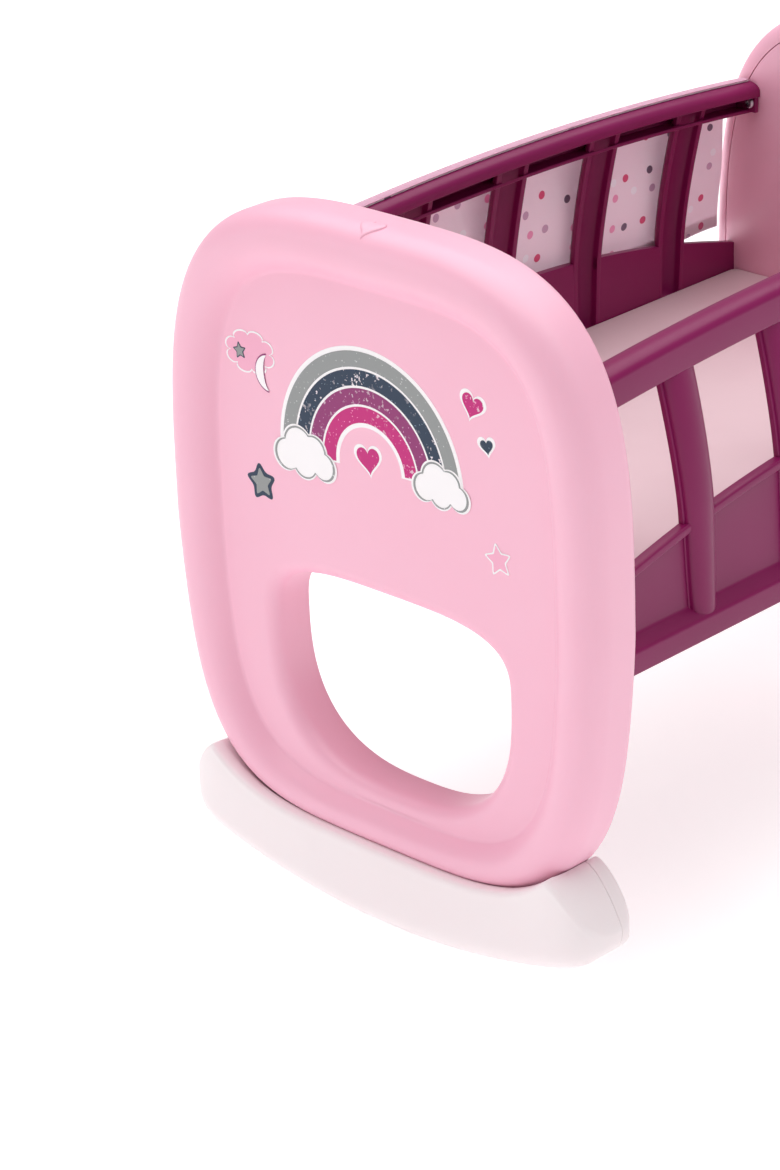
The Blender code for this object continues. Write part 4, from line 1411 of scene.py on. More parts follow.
@dataclass
class Rocker:
    """One curved rocker: a soft front shell with a lip under the rim, and a narrow rear shell."""

    half: float = 153.5 * MM
    radius: float = 470.0 * MM
    flat: float = 13.8 * MM
    seam: float = 34.0 * MM
    depth: float = 45.0 * MM
    seat_gap: float = 0.3 * MM
    saddle_gap: float = 0.05 * MM
    tip: float = 26.0 * MM
    end_tall: float = 14.5 * MM
    end_power: float = 1.7
    corner_run: float = 11.0 * MM
    corner_rise: float = 11.0 * MM
    end_run: float = 34.0 * MM
    end_depth: float = 4.0 * MM
    plan_power: float = 3.0
    rear_round: float = 8.0 * MM
    foot_depth: float = 9.2 * MM
    foot_tall: float = 15.0 * MM
    foot_share: float = 0.58
    top_edge: float = 3.5 * MM
    rear_edge: float = 4.0 * MM
    edge_share: float = 0.4
    seam_edge: float = 0.5 * MM
    seam_share: float = 0.2
    cap_round: float = 1.5 * MM
    lip_angle: float = 60.0
    lip_steps: int = 10
    lip_fade: float = 0.9
    lip_powers: Flat = (4.0, 3.0)
    pocket_radius: float = 4.4 * MM
    pocket_depth: float = 4.5 * MM
    tool_overrun: float = 2.0 * MM
    closing_spacing: float = 84.0 * MM
    mount_spacing: float = 96.0 * MM
    mount_depth: float = 23.0 * MM
    facets: int = 150
    foot_steps: int = 12
    top_steps: int = 8
    rear_steps: int = 6
    seam_steps: int = 3
    edge_angle: float = 50.0
    cut_angle: float = 40.0

    def lift(self, across: float) -> float:
        """Height of the rocking circle above its flat middle."""
        lift = math.sqrt(self.radius ** 2 - self.flat ** 2) - math.sqrt(self.radius ** 2 - across ** 2)
        return max(lift, 0.0)

    def end_curve(self, across: float, run: float, reach: float, power: float = 2.0) -> float:
        """How far an edge has curved away at a place near an end.

        Args:
            across: the place.
            run: distance from the end at which the curve starts.
            reach: how far it has gone at the end.
            power: fullness of the curve.

        Returns:
            The distance.
        """
        share = (abs(across) - (self.half - run)) / run
        if share <= 0:
            return 0.0
        return reach * (1 - max(1 - share ** power, 0.0) ** (1 / power))

    def bottom(self, across: float) -> float:
        """Height of the underside, with its rounded corners."""
        cap = self.end_curve(across, self.cap_round, self.cap_round)
        return self.lift(across) + self.end_curve(across, self.corner_run, self.corner_rise) + cap

    def top(self, across: float, angle: float = 0.0) -> float:
        """Height of the top: it hugs the panel, then falls in a curve to the end.

        Args:
            across: place across the cradle.
            angle: angle round the front of the rim, in radians, under which the point lies.

        Returns:
            The height.
        """
        tip = self.half - self.tip
        place = min(abs(across), tip)
        run = (abs(across) - place) / self.tip
        inner_power, outer_power = self.lip_powers
        saddle = OUTLINE.grown(self.saddle_gap)
        rise = EndPanel().crest * (1 - math.cos(angle))
        flat = saddle.lower_edge(place)
        lip = saddle.blended(RECESS.grown(self.saddle_gap), rise).lower_edge(place) - flat
        fade = (1 - self.lip_fade * (place / tip) ** inner_power) * max(1 - run, 0.0) ** outer_power
        end_top = self.lift(self.half) + self.end_tall
        fall = (flat - end_top) * min(run, 1.0) ** self.end_power
        return flat - fall + lip * fade - self.end_curve(across, self.cap_round, self.cap_round)

    def corner(self, place: Flat, deep: float, tall: float, steps: int) -> list[Flat]:
        """A rounded corner of a cross-section, by its reach along its level and its upright side."""
        return arc((place[0] + deep, place[1] + tall), (-deep, -tall), 90.0, 0.0, steps)

    def lip(self, across: float, start: float) -> list[Flat]:
        """The cross-section's line under the rim, from the lip's edge back to the seam.

        Args:
            across: place across the cradle.
            start: depth of the lip's edge.

        Returns:
            Points as depth and height.
        """
        rim = EndPanel()
        points = []
        for step in range(self.lip_steps, -1, -1):
            angle = math.radians(self.lip_angle) * step / self.lip_steps
            depth = rim.setback + rim.front_radius - (rim.front_radius + self.saddle_gap) * math.sin(angle)
            share = (depth - self.top_edge) / (self.seam - self.top_edge)
            points.append((start + (self.seam - start) * share, self.top(across, angle)))
        return points

    def front_section(self, across: float) -> list[Point]:
        """Cross-section of the front shell, with the lip that rises in front of the rim.

        Args:
            across: place across the cradle.

        Returns:
            Points in order round the section.
        """
        start = self.end_curve(across, self.end_run, self.seam - self.end_depth, self.plan_power)
        low = self.bottom(across)
        crown = self.top(across, math.radians(self.lip_angle))
        tall, deep = crown - low, self.seam - start
        edge = min(self.top_edge, self.edge_share * min(tall, deep))
        foot = (min(self.foot_depth, self.edge_share * deep), min(self.foot_tall, self.foot_share * tall))
        soft = min(self.seam_edge, self.seam_share * tall)
        points = self.corner((self.seam, low), -soft, soft, self.seam_steps)[::-1]
        points += self.corner((start, low), *foot, self.foot_steps)
        points += self.corner((start, crown), edge, -edge, self.top_steps)[::-1]
        points += self.lip(across, start + edge)
        points += self.corner((self.seam, self.top(across)), -soft, -soft, self.seam_steps)
        return [(across, at_end(depth), height) for depth, height in points]

    def rear_section(self, across: float) -> list[Point]:
        """Cross-section of the rear shell at a place across.

        Args:
            across: place across the cradle.

        Returns:
            Points in order round the section.
        """
        start = self.seam + self.seat_gap
        back = self.depth - self.end_curve(across, self.rear_round, self.rear_round)
        low, high = self.bottom(across), self.top(across)
        edge = min(self.rear_edge, self.edge_share * min(high - low, back - start))
        soft = min(self.seam_edge, self.seam_share * (high - low))
        points = self.corner((start, low), soft, soft, self.seam_steps)[::-1]
        points += self.corner((back, low), -edge, edge, self.rear_steps)
        points += self.corner((back, high), -edge, -edge, self.rear_steps)[::-1]
        points += self.corner((start, high), soft, -soft, self.seam_steps)
        return [(across, at_end(depth), height) for depth, height in points]

    def swept(self, name: str, section: Callable[[float], list[Point]]) -> bpy.types.Object:
        """Model one shell through places across the rocker that lie closest together near its ends.

        Args:
            name: name of the piece.
            section: gives the cross-section at a place across.

        Returns:
            The shell.
        """
        turns = [math.pi * index / self.facets for index in range(self.facets + 1)]
        return lofted(name, [section(-self.half * math.cos(turn)) for turn in turns], self.edge_angle)

    def pockets(self, rear: bool) -> list[tuple[Point, Point]]:
        """Both ends of each screw pocket of the rear or the front shell.

        Args:
            rear: whether it is the rear shell.

        Returns:
            First and last point of each pocket's axis.
        """
        places = []
        if rear:
            for across in (-self.closing_spacing, 0.0, self.closing_spacing):
                height = (self.bottom(across) + self.top(across)) / 2
                depths = (self.depth + self.tool_overrun, self.depth - self.pocket_depth)
                places.append(tuple((across, at_end(depth), height) for depth in depths))
        else:
            for across in (-self.mount_spacing / 2, self.mount_spacing / 2):
                low = self.bottom(across)
                heights = (low - self.tool_overrun, low + self.pocket_depth)
                places.append(tuple((across, at_end(self.mount_depth), height) for height in heights))
        return places

    def build(self) -> None:
        """Model both shells, copy them to the head end and dress them."""
        for part, section in (("rocker_front", self.front_section), ("rocker_rear", self.rear_section)):
            made = self.swept(f"foot_{part}_shell", section)
            for start, end in self.pockets(part == "rocker_rear"):
                cut(made, round_tool(start, end, self.pocket_radius))
            smooth(made, self.cut_angle)
            hand_over_pair(made, End, f"{part}_shell", WHITE_PLASTIC, part)


def round_tool(start: Point, end: Point, radius: float, sides: int = 40) -> bpy.types.Object:
    """A plain round cutter between two points.

    Args:
        start: middle of one end.
        end: middle of the other end.
        radius: its radius.
        sides: its facets.

    Returns:
        The cutter.
    """
    clear_bench()
    first = Vector(start)
    run = Vector(end) - first
    turn = run.to_track_quat("Z", "Y").to_euler()
    bpy.ops.mesh.primitive_cylinder_add(
        vertices=sides, radius=radius, depth=run.length, location=first + run / 2, rotation=turn
    )
    return settled("round_tool")


@dataclass
class SideFrame:
    """One side frame: arched rail, five half-round bars, apron, ledge and end flanges."""

    half: float = 222.7 * MM
    wall: float = 2.3 * MM
    rail_out: float = 141.0 * MM
    rail_width: float = 19.0 * MM
    rail_crown: float = 6.0 * MM
    rail_side: float = 14.5 * MM
    rail_arch: float = 11.0 * MM
    rail_lip: float = 3.5 * MM
    rail_floor: float = 12.5 * MM
    crease: float = 355.5 * MM
    face: float = 145.5 * MM
    sheet: float = 2.5 * MM
    top: float = 271.0 * MM
    arch_drop: float = 30.0 * MM
    groove: float = 203.6 * MM
    ledge_top: float = 197.6 * MM
    foot: float = 184.6 * MM
    lip_out: float = 3.8 * MM
    lip_tall: float = 5.6 * MM
    foot_out: float = 8.0 * MM
    bar_count: int = 5
    bar_pitch: float = 83.0 * MM
    bar_width: float = 28.0 * MM
    bar_lip: float = 1.8 * MM
    bar_height: float = 9.5 * MM
    bar_lip_height: float = 3.5 * MM
    bar_crest: float = 152.4 * MM
    bar_top_crest: float = 139.6 * MM
    bend_start: float = 259.0 * MM
    bend_tall: float = 82.0 * MM
    lean_power: float = 1.5
    base_bottom: float = 221.0 * MM
    ledge_width: float = 8.0 * MM
    ledge_thick: float = 2.5 * MM
    seat_gap: float = 0.3 * MM
    flange_thick: float = 3.0 * MM
    flange_reach: float = 26.0 * MM
    flange_rise: float = 0.33
    flange_bevel: float = 0.5 * MM
    overlap: float = 0.6 * MM
    channel_clear: float = 1.0 * MM
    foot_slim: float = 0.25
    foot_fan: float = 0.048
    stations: int = 72
    rail_steps: int = 20
    bar_steps: int = 22
    channel_steps: int = 16
    edge_angle: float = 34.0
    channel_angle: float = 32.0
    hollow_round: float = 0.5 * MM
    hidden_round: float = 0.6 * MM
    tip_round: float = 0.7 * MM
    inner_round: float = 0.8 * MM
    step_round: float = 1.0 * MM
    foot_round: float = 1.2 * MM
    groove_round: float = 1.4 * MM
    lip_round: float = 1.6 * MM
    bead_round: float = 1.8 * MM

    def arch(self, along: float, rise: float) -> float:
        """Drop below the middle of an arched edge."""
        return rise * (along / INNER_HALF) ** 2

    def places(self) -> list[float]:
        """Places of the bars along the frame."""
        middle = (self.bar_count - 1) / 2
        return [(index - middle) * self.bar_pitch for index in range(self.bar_count)]

    def crest(self, height: float) -> float:
        """Distance from the cradle's middle to a bar's outside: upright below, leaning in above."""
        share = max((height - self.bend_start) / self.bend_tall, 0.0)
        return self.bar_crest - (self.bar_crest - self.bar_top_crest) * share ** self.lean_power

    def fall(self, height: float) -> float:
        """Share of the way from the rail's crease down to the ledge."""
        return min(max((self.crease - height) / (self.crease - self.ledge_top), 0.0), 1.0)

    def rail_section(self, along: float) -> list[Flat]:
        """Cross-section of the rail: a crowned channel, open towards the bed.

        Args:
            along: place along the frame.

        Returns:
            Points as distance from the cradle's middle and height.
        """
        crease = self.crease - self.arch(along, self.rail_arch)
        low, wall, half = crease - self.rail_side, self.wall, self.rail_width / 2
        middle = (self.rail_out - half, crease)
        inner = self.rail_out - self.rail_width
        floor = self.rail_out - self.rail_floor
        outside = arc(middle, (half, self.rail_crown), 0.0, 180.0, self.rail_steps)
        inside = arc(middle, (half - wall, self.rail_crown - wall), 180.0, 0.0, self.rail_steps)
        corners: list[Corner] = [((floor, low), self.hidden_round), ((self.rail_out, low), self.lip_round)]
        corners += [(point, 0.0) for point in outside]
        corners.append(((inner, crease - self.rail_lip), self.step_round))
        corners.append(((inner + wall, crease - self.rail_lip), self.step_round))
        corners += [(point, 0.0) for point in inside]
        corners.append(((self.rail_out - wall, low + wall), self.inner_round))
        corners.append(((floor, low + wall), self.hidden_round))
        return rounded(corners)

    def apron_section(self, along: float) -> list[Flat]:
        """Cross-section of the apron: a sheet with a bead along its top and a stepped foot.

        Args:
            along: place along the frame.

        Returns:
            Points as distance from the cradle's middle and height.
        """
        top = self.top - self.arch(along, self.arch_drop)
        inner = self.face - self.sheet
        lip = self.face + self.lip_out
        foot = self.face + self.foot_out
        wall = self.wall
        return rounded([
            ((inner, top), self.hidden_round),
            ((lip, top), self.bead_round),
            ((lip, top - self.lip_tall), self.lip_round),
            ((self.face, top - self.lip_tall - self.overlap), self.step_round),
            ((self.face, self.groove), self.groove_round),
            ((foot, self.ledge_top), self.lip_round),
            ((foot, self.foot), self.foot_round),
            ((foot - wall, self.foot), self.inner_round),
            ((foot - wall, self.ledge_top - wall), self.inner_round),
            ((self.face - wall / 2, self.groove - wall), self.hidden_round),
            ((inner, self.groove - wall), self.hidden_round),
        ])

    def ledge_section(self, _along: float) -> list[Flat]:
        """Cross-section of the ledge that the bed base rests on.

        Args:
            _along: place along the frame, which changes nothing here.

        Returns:
            Points as distance from the cradle's middle and height.
        """
        outer = self.face - self.sheet + self.overlap
        inner = self.face - self.sheet - self.ledge_width
        top = self.base_bottom - self.seat_gap
        low = top - self.ledge_thick
        soft = self.hidden_round
        corners = (((outer, top), 0.0), ((inner, top), soft), ((inner, low), soft), ((outer, low), 0.0))
        return rounded(corners, 3)

    def sweep(self, part: str, section: Callable[[float], list[Flat]]) -> bpy.types.Object:
        """Model a length of the frame with one changing cross-section.

        Args:
            part: name of the piece.
            section: gives the cross-section at a place along the frame.

        Returns:
            The piece.
        """
        rings = []
        for index in range(self.stations + 1):
            along = self.half * (2 * index / self.stations - 1)
            rings.append([(across, along, height) for across, height in section(along)])
        return lofted(part, rings, self.edge_angle)

    def hollow(self, turned: bool, steps: int) -> list[Flat]:
        """The round floor of the hollow in a bar, as places along the frame and inward from its crest.

        Args:
            turned: whether it runs the other way along the frame.
            steps: its facets.

        Returns:
            The points.
        """
        edge = self.bar_height - self.bar_lip_height
        half = self.bar_width / 2 - self.bar_lip - self.wall
        ends = (180.0, 0.0) if turned else (0.0, 180.0)
        return arc((0.0, edge), (-half, self.wall - edge), *ends, steps)

    def raised(
        self, part: str, place: float, outline: list[Flat], low: float, angle: float
    ) -> bpy.types.Object:
        """Model a piece that rises on a bar's leaning line to the rail, narrower towards its foot.

        Args:
            part: name of the piece.
            place: the bar's place along the frame.
            outline: its cross-section, as places along the frame and inward from the crest.
            low: height of its foot.
            angle: edges sharper than this, in degrees, stay crisp.

        Returns:
            The piece.
        """
        high = self.crease - self.arch(place, self.rail_arch) - self.wall
        if part == "channel":
            high -= self.overlap
        bends = [(high - self.bend_start) * step / self.bar_steps for step in range(self.bar_steps + 1)]
        rings = []
        for height in (low, *(self.bend_start + bend for bend in bends)):
            crest = self.crest(height)
            middle = place * (1 - self.foot_fan * self.fall(height))
            slim = 1 - self.foot_slim * self.fall(height) ** 2
            rings.append([(crest - inward, middle + along * slim, height) for along, inward in outline])
        return lofted(part, rings, angle)

    def bar(self, place: float) -> bpy.types.Object:
        """Model one bar at its place along the frame: half round with side lips, hollow towards the bed.

        Args:
            place: the bar's place along the frame.

        Returns:
            The bar.
        """
        half = self.bar_width / 2 - self.bar_lip
        edge = self.bar_height - self.bar_lip_height
        outside = arc((0.0, edge), (-half, -edge), 0.0, 180.0, self.bar_steps)
        corners: list[Corner] = [((-half - self.bar_lip, self.bar_height), self.tip_round)]
        corners.append(((-half - self.bar_lip, edge), self.inner_round))
        corners += [(point, 0.0) for point in outside]
        corners.append(((half + self.bar_lip, edge), self.inner_round))
        corners.append(((half + self.bar_lip, self.bar_height), self.tip_round))
        corners.append(((half - self.wall, self.bar_height), self.hollow_round))
        corners += [(point, 0.0) for point in self.hollow(True, self.bar_steps)]
        corners.append(((self.wall - half, self.bar_height), self.hollow_round))
        return self.raised("bar", place, rounded(corners, 3), self.ledge_top + self.overlap, self.edge_angle)

    def channel(self, place: float) -> bpy.types.Object:
        """A cutter with the form of the hollow in the bar at a place along the frame.

        Args:
            place: the bar's place along the frame.

        Returns:
            The cutter.
        """
        half = self.bar_width / 2 - self.bar_lip - self.wall
        back = self.bar_height + self.channel_clear
        outline = [(-half, back), *self.hollow(False, self.channel_steps), (half, back)]
        low = self.groove + self.channel_clear
        return self.raised("channel", place, outline, low, self.channel_angle)

    def flange(self, name: str, low: Point, high: Point) -> bpy.types.Object:
        """Model one end flange as a bevelled plate between two corners.

        Args:
            name: name of the piece.
            low: lowest corner.
            high: highest corner.

        Returns:
            The flange.
        """
        clear_bench()
        size = Vector(high) - Vector(low)
        bpy.ops.mesh.primitive_cube_add(size=1.0, location=Vector(low) + size / 2, scale=size)
        item = settled(name)
        bpy.ops.object.mode_set(mode="EDIT")
        bpy.ops.mesh.select_all(action="SELECT")
        bpy.ops.mesh.bevel(offset=self.flange_bevel, segments=3, affect="EDGES")
        bpy.ops.object.mode_set(mode="OBJECT")
        smooth(item)
        return item

    def flanges(self) -> bpy.types.Object:
        """Model the flanges of both ends as one piece.

        Returns:
            The flanges.
        """
        made = []
        crease = self.crease - self.rail_arch
        inner = self.rail_out - self.rail_width
        skin = self.wall / 2
        for first in (-self.half, self.half - self.flange_thick):
            last = first + self.flange_thick
            low = (inner + skin, first, crease - self.rail_side + skin)
            high = (self.rail_out - skin, last, crease + self.rail_crown * self.flange_rise)
            made.append(self.flange("rail_flange", low, high))
            low = (self.face - self.flange_reach, first, self.ledge_top - self.wall)
            high = (self.face - self.overlap, last, self.base_bottom - self.seat_gap - self.ledge_thick / 2)
            made.append(self.flange("apron_flange", low, high))
        return joined(made)

    def build(self) -> None:
        """Model the right frame's pieces, copy them turned to the left side and dress them."""
        rail = self.sweep("right_rail", self.rail_section)
        apron = self.sweep("right_apron", self.apron_section)
        for item in (rail, apron):
            cut(item, joined([self.channel(place) for place in self.places()]))
            smooth(item, self.edge_angle)
        ledge = self.sweep("right_ledge", self.ledge_section)
        made = {"rail": rail, "apron": apron, "ledge": ledge, "flanges": self.flanges()}
        for index, place in enumerate(self.places()):
            made[f"bar_{index + 1}"] = self.bar(place)
        for part, item in made.items():
            node = "side_frame" if part == "rail" else ""
            hand_over_pair(item, Side, part, PLUM_PLASTIC, node)


@dataclass
class BedBase:
    """The flat plate of the bed, between the side frames."""

    half_width: float = 142.4 * MM
    half_length: float = 222.4 * MM
    bottom: float = 221.0 * MM
    thick: float = 3.0 * MM
    corner: float = 6.0 * MM
    corner_steps: int = 10
    edge: float = 0.8 * MM
    edge_angle: float = 40.0

    def build(self) -> None:
        """Model the plate with rounded corners and eased edges, and dress it."""
        wide, long = self.half_width, self.half_length
        places = ((wide, -long), (wide, long), (-wide, long), (-wide, -long))
        outline = rounded([(place, self.corner) for place in places], self.corner_steps)
        top, edge = self.bottom + self.thick, self.edge
        eased = (
            (edge, self.bottom), (0.0, self.bottom + edge), (0.0, top - edge),
            (EASE * edge, top - EASE * edge), (edge, top),
        )
        rings = []
        for inset, height in eased:
            shrink = 1 - inset / wide
            rings.append([(across * shrink, along * shrink, height) for across, along in outline])
        plate = lofted("bed_plate", rings, self.edge_angle)
        hand_over(plate, CREAM_SHEET, ["bed_base"])


@dataclass
class HangingCloth:
    """The dotted cloth over the far rail, with its plain top band and its bound lower edge."""

    frame: SideFrame
    length: float = 440.0 * MM
    gap: float = 0.35 * MM
    thick: float = 0.9 * MM
    band_thick: float = 0.5 * MM
    binding_thick: float = 0.8 * MM
    bottom: float = 250.0 * MM
    fold: float = 3.2 * MM
    band: float = 31.0 * MM
    binding: float = 8.5 * MM
    wrap: float = 105.0
    wrap_steps: int = 14
    side_steps: int = 4
    levels: int = 56
    stations: int = 220
    span_reach: float = 10.0 * MM
    span_steps: int = 4
    edge_angle: float = 50.0
    slow_waves: Flat = (23.0, 11.0)
    slow_shift: float = 0.8
    least_fold: float = 0.35

    def path(self, along: float) -> list[Flat]:
        """The cloth's inner line: over the rail, down its side and outside the bars.

        Args:
            along: place along the rail.

        Returns:
            Points as distance from the cradle's middle and height.
        """
        frame = self.frame
        crease = frame.crease - frame.arch(along, frame.rail_arch)
        half = frame.rail_width / 2
        over = (half + self.gap, frame.rail_crown + self.gap)
        points = arc((frame.rail_out - half, crease), over, self.wrap, 0.0, self.wrap_steps)
        for step in range(1, self.side_steps + 1):
            points.append((frame.rail_out + self.gap, crease - frame.rail_side * step / self.side_steps))
        low = crease - frame.rail_side
        folds = self.folds(along)
        for step in range(1, self.levels + 1):
            share = step / self.levels
            height = low + (self.bottom - low) * share
            points.append((self.rest(height) + self.gap + self.fold * folds * share, height))
        return points

    def rest(self, height: float) -> float:
        """How far out the frame reaches at a height, eased where the cloth spans a step.

        Args:
            height: height over the floor.

        Returns:
            Distance from the cradle's middle.
        """
        frame = self.frame
        lip = frame.face + frame.lip_out
        steps = range(-self.span_steps, self.span_steps + 1)
        nearby = [height + self.span_reach * step / self.span_steps for step in steps]
        reach = [max(frame.crest(near), lip, frame.rail_out) for near in nearby]
        return max(frame.crest(height), lip, sum(reach) / len(reach))

    def folds(self, along: float) -> float:
        """Share of the full fold depth at a place: shallow between the bars, none over them.

        Args:
            along: place along the rail.

        Returns:
            The share.
        """
        wave = (1 - math.cos(math.tau * along / self.frame.bar_pitch)) / 2
        first, second = self.slow_waves
        slow = 0.5 + 0.5 * math.sin(along * first + self.slow_shift) * math.cos(along * second)
        return wave * (self.least_fold + (1 - self.least_fold) * slow)

    def lengths(self, path: Sequence[Flat]) -> list[float]:
        """Distance along a path to each of its points.

        Args:
            path: the path's points.

        Returns:
            One distance for each point.
        """
        runs = [0.0]
        for first, second in zip(path, path[1:]):
            runs.append(runs[-1] + math.dist(first, second))
        return runs

    def offset_path(self, path: Sequence[Flat], offset: float) -> list[Flat]:
        """A path moved outwards from the rail by a distance.

        Args:
            path: the path's points.
            offset: the distance.

        Returns:
            The moved points.
        """
        moved = []
        for before, point, after in zip([path[0], *path], path, [*path[1:], path[-1]]):
            run = Vector((after[0] - before[0], after[1] - before[1])).normalized()
            moved.append((point[0] - run.y * offset, point[1] + run.x * offset))
        return moved

    def strip(self, name: str, start: int, end: int, offset: float, thick: float) -> bpy.types.Object:
        """Model part of the cloth as a closed thin sheet with its UV map in metres.

        Args:
            name: name of the piece.
            start: first point of the path that it covers.
            end: last point of the path that it covers.
            offset: how far its inner face lies outside the path.
            thick: its thickness.

        Returns:
            The piece.
        """
        columns = []
        for index in range(self.stations + 1):
            along = self.length * (index / self.stations - 0.5)
            columns.append((along, self.offset_path(self.path(along), offset + thick / 2)[start:end + 1]))
        runs = self.lengths(self.path(0.0))[start:end + 1]
        clear_bench()
        bpy.ops.mesh.primitive_grid_add(
            x_subdivisions=self.stations, y_subdivisions=end - start, size=self.length, location=(0, 0, 0)
        )
        item = settled(name)
        for index, vertex in enumerate(item.data.vertices):
            level, station = divmod(index, len(columns))
            along, line = columns[station]
            across, height = line[level]
            vertex.co = (-across, along, height)
        chart = item.data.uv_layers.active or item.data.uv_layers.new()
        chart.name = "weave"
        for loop in item.data.loops:
            level, station = divmod(loop.vertex_index, len(columns))
            chart.data[loop.index].uv = (columns[station][0] + 0.5, runs[level])
        apply_modifier(item, "SOLIDIFY", thickness=thick, offset=0.0, use_even_offset=True)
        bpy.ops.object.mode_set(mode="EDIT")
        bpy.ops.mesh.select_all(action="SELECT")
        bpy.ops.mesh.normals_make_consistent(inside=False)
        bpy.ops.object.mode_set(mode="OBJECT")
        smooth(item, self.edge_angle)
        return item

    def build(self) -> None:
        runs = self.lengths(self.path(0.0))
        last = len(runs) - 1
        band_end = next(index for index, run in enumerate(runs) if run >= self.band)
        binding_start = next(index for index, run in enumerate(runs) if run >= runs[-1] - self.binding)
        cloth = self.strip("dotted_cloth", 0, last, 0.0, self.thick)
        hand_over(cloth, PRINTED_COTTON, ["hanging_cloth"])
        band = self.strip("cloth_top_band", 0, band_end, self.thick, self.band_thick)
        hand_over(band, BAND_COTTON)
        binding = self.strip("cloth_binding", binding_start, last, self.thick, self.binding_thick)
        hand_over(binding, BINDING_COTTON)


@dataclass
class PanScrew:
    """A pan-head screw with a cross recess, modelled once for each length and copied to its nodes."""

    nodes: list[str]
    head_radius: float = 3.5 * MM
    head_tall: float = 2.2 * MM
    shank_radius: float = 1.6 * MM
    core_radius: float = 1.2 * MM
    thread: float = 1.3 * MM
    recess: float = 3.6 * MM
    recess_wide: float = 0.9 * MM
    recess_deep: float = 1.3 * MM
    recess_taper: float = 0.55
    recess_clear: float = 0.5 * MM
    sides: int = 28
    tip_share: float = 0.2
    edge_angle: float = 40.0
    head_line: tuple[Flat, ...] = (
        (0.08, 0.0), (0.30, 0.0), (0.60, 0.03), (0.82, 0.14), (0.95, 0.34), (1.0, 0.62), (1.0, 0.94),
        (0.97, 1.0),
    )

    def ring(self, radius: float, height: float) -> list[Point]:
        """A level ring about the screw's axis."""
        circle = arc((0.0, 0.0), (radius, radius), 0.0, 360.0, self.sides)[:-1]
        return [(across, along, height) for across, along in circle]

    def model(self, name: str, length: float) -> bpy.types.Object:
        """Model a screw with its head's top at the origin and its shank upwards.

        Args:
            name: name of the piece.
            length: from the head's top to the shank's tip.

        Returns:
            The screw.
        """
        tall = self.head_tall
        rings = [self.ring(wide * self.head_radius, high * tall) for wide, high in self.head_line]
        rings.append(self.ring(self.shank_radius, tall))
        height = tall + self.thread
        while height < length - 2 * self.thread:
            rings.append(self.ring(self.core_radius, height))
            rings.append(self.ring(self.shank_radius, height + self.thread / 2))
            height += self.thread
        rings.append(self.ring(self.core_radius, length - 2 * self.thread))
        rings.append(self.ring(self.tip_share * self.core_radius, length))
        item = lofted(name, rings, self.edge_angle)
        cut(item, self.cross())
        smooth(item, self.edge_angle)
        return item

    def cross(self) -> bpy.types.Object:
        """The tapered cross-shaped cutter of the recess.

        Returns:
            The cutter.
        """
        half = self.recess_wide / 2
        rings = []
        for scale, height in ((1.0, -self.recess_clear), (self.recess_taper, self.recess_deep)):
            points = []
            for arm in (Vector((1, 0)), Vector((0, 1)), Vector((-1, 0)), Vector((0, -1))):
                side = Vector((-arm.y, arm.x)) * half
                tip = arm * (self.recess / 2) * scale
                points.extend([tip - side, tip + side, arm * half + side])
            rings.append([(point.x, point.y, height) for point in points])
        return lofted("cross", rings)

    def build(self) -> None:
        """Copy a screw to the place of every screw node and dress it."""
        models: dict[str, bpy.types.Object] = {}
        for name in self.nodes:
            low, high = (Vector(corner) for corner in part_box(name))
            size = high - low
            middle = (low + high) / 2
            if size.z > size.y:
                length = size.z
                turn = Matrix.Identity(3)
                top = Vector((middle.x, middle.y, low.z))
            else:
                length = size.y
                inward = -1 if name.startswith(End.FOOT.value) else 1
                turn = Matrix.Rotation(-inward * math.pi / 2, 3, "X")
                top = Vector((middle.x, high.y if inward < 0 else low.y, middle.z))
            key = f"{length:.4f}"
            if key not in models:
                models[key] = self.model("screw_model", length)
            item = copied(models[key], name + "_detailed")
            item.data.transform(Matrix.Translation(top) @ turn.to_4x4())
            hand_over(item, ZINC, [name])
        for model in models.values():
            bpy.data.objects.remove(model, do_unlink=True)


@dataclass(frozen=True)
class SoftBox:
    """One square soft box: where it hangs, the point it faces, its width and its power in watts."""

    name: str
    place: Point
    aim: Point
    width: float
    power: float

    def hang(self) -> None:
        """Hang the soft box."""
        data = bpy.data.lights.new(self.name, "AREA")
        data.shape = "RECTANGLE"
        data.size = data.size_y = self.width
        data.energy = self.power
        light = bpy.data.objects.new(self.name, data)
        light.location = self.place
        light.rotation_euler = (Vector(self.aim) - Vector(self.place)).to_track_quat("-Z", "Y").to_euler()
        bpy.context.scene.collection.objects.link(light)


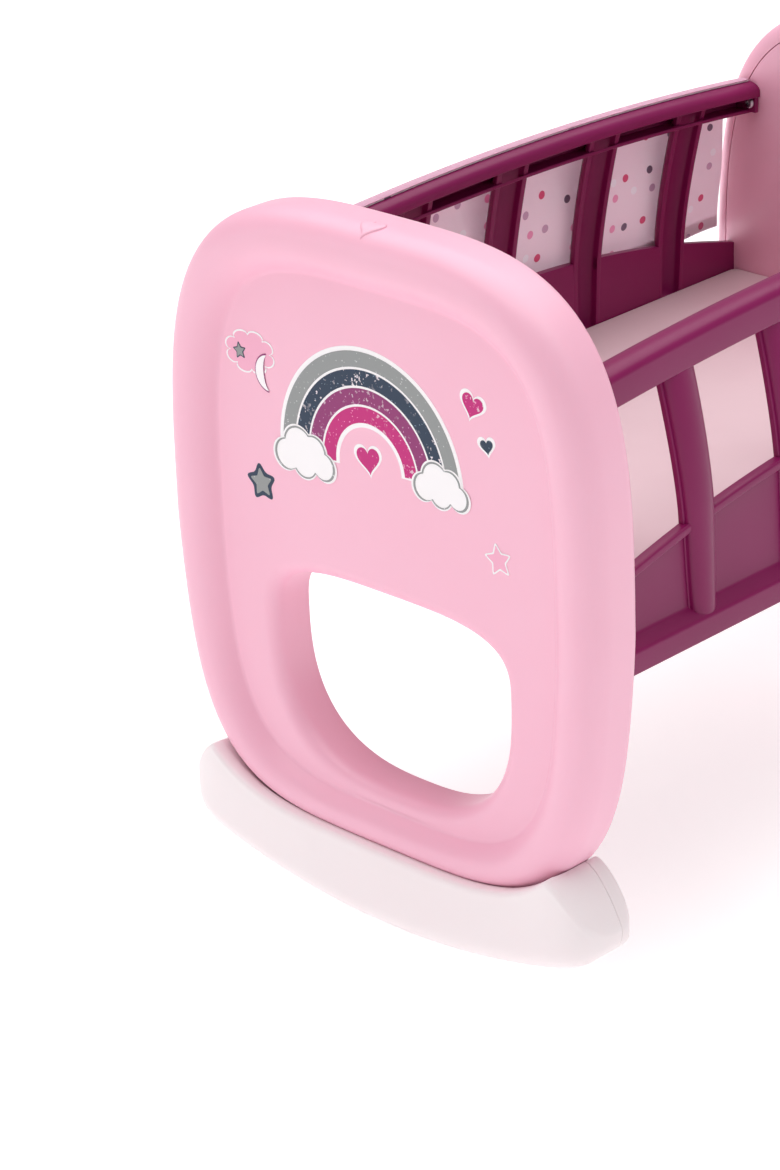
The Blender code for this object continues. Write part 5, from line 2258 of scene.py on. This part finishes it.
@dataclass
class Studio:
    """Plain pale floor, soft studio light and the camera at the photograph's angle."""

    camera_place: Point = (1.32908, -1.57998, 1.03843)
    camera_right: Point = (0.7191644, 0.69391298, -0.03587955)
    camera_up: Point = (-0.2584558, 0.31507877, 0.91319547)
    camera_back: Point = (0.64498307, -0.6474644, 0.40593927)
    lens: float = 116.92
    film_width: float = 36.0
    far_limit: float = 50.0
    floor_size: float = 60.0
    floor_gap: float = 0.2 * MM
    surround: float = 0.32
    lights: tuple[SoftBox, ...] = (
        SoftBox("overhead", (-0.3, 0.3, 3.4), (0.0, 0.0, 0.2), 5.0, 156.0),
        SoftBox("front_left", (-2.6, -3.6, 1.3), (0.0, -0.2, 0.2), 2.0, 24.0),
        SoftBox("right", (2.2, 0.5, 1.8), (-0.1, 0.1, 0.3), 1.2, 3.0),
    )

    def build_floor(self) -> None:
        """Lay the floor just under the rockers."""
        clear_bench()
        bpy.ops.mesh.primitive_plane_add(size=self.floor_size, location=(0.0, 0.0, -self.floor_gap))
        floor = settled("studio_floor")
        floor.data.materials.append(PaleFloor().material())

    def build_camera(self) -> None:
        """Set the camera in its fitted place."""
        data = bpy.data.cameras.new("camera")
        data.lens = self.lens
        data.sensor_width = self.film_width
        data.sensor_fit = "AUTO"
        data.clip_end = self.far_limit
        camera = bpy.data.objects.new("camera", data)
        bpy.context.scene.collection.objects.link(camera)
        columns = Matrix((self.camera_right, self.camera_up, self.camera_back)).transposed()
        camera.matrix_world = Matrix.Translation(self.camera_place) @ columns.to_4x4()
        bpy.context.scene.camera = camera

    def build(self) -> None:
        """Set up the floor, the camera, the surroundings and the lights."""
        self.build_floor()
        self.build_camera()
        world = bpy.data.worlds.new("studio")
        world.use_nodes = True
        background = world.node_tree.nodes["Background"]
        background.inputs["Color"].default_value = tone(255, 255, 255)
        background.inputs["Strength"].default_value = self.surround
        bpy.context.scene.world = world
        bpy.context.scene.view_settings.view_transform = "Standard"
        bpy.context.scene.view_settings.look = "None"
        for light in self.lights:
            light.hang()


def main() -> None:
    """Load the frame, dress the cradle and set up the studio."""
    logging.basicConfig(level=logging.INFO, format="%(name)s: %(message)s")
    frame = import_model()
    screws = PanScrew(sorted(name for name in frame["nodes"] if "_screw_" in name))
    side = SideFrame()
    for maker in (EndPanel(), PanelStickers(), Rocker(), side, BedBase(), HangingCloth(side), screws):
        log.info("building %s", type(maker).__name__)
        maker.build()
    Studio().build()
    clear_bench()


if __name__ == "__main__":
    main()
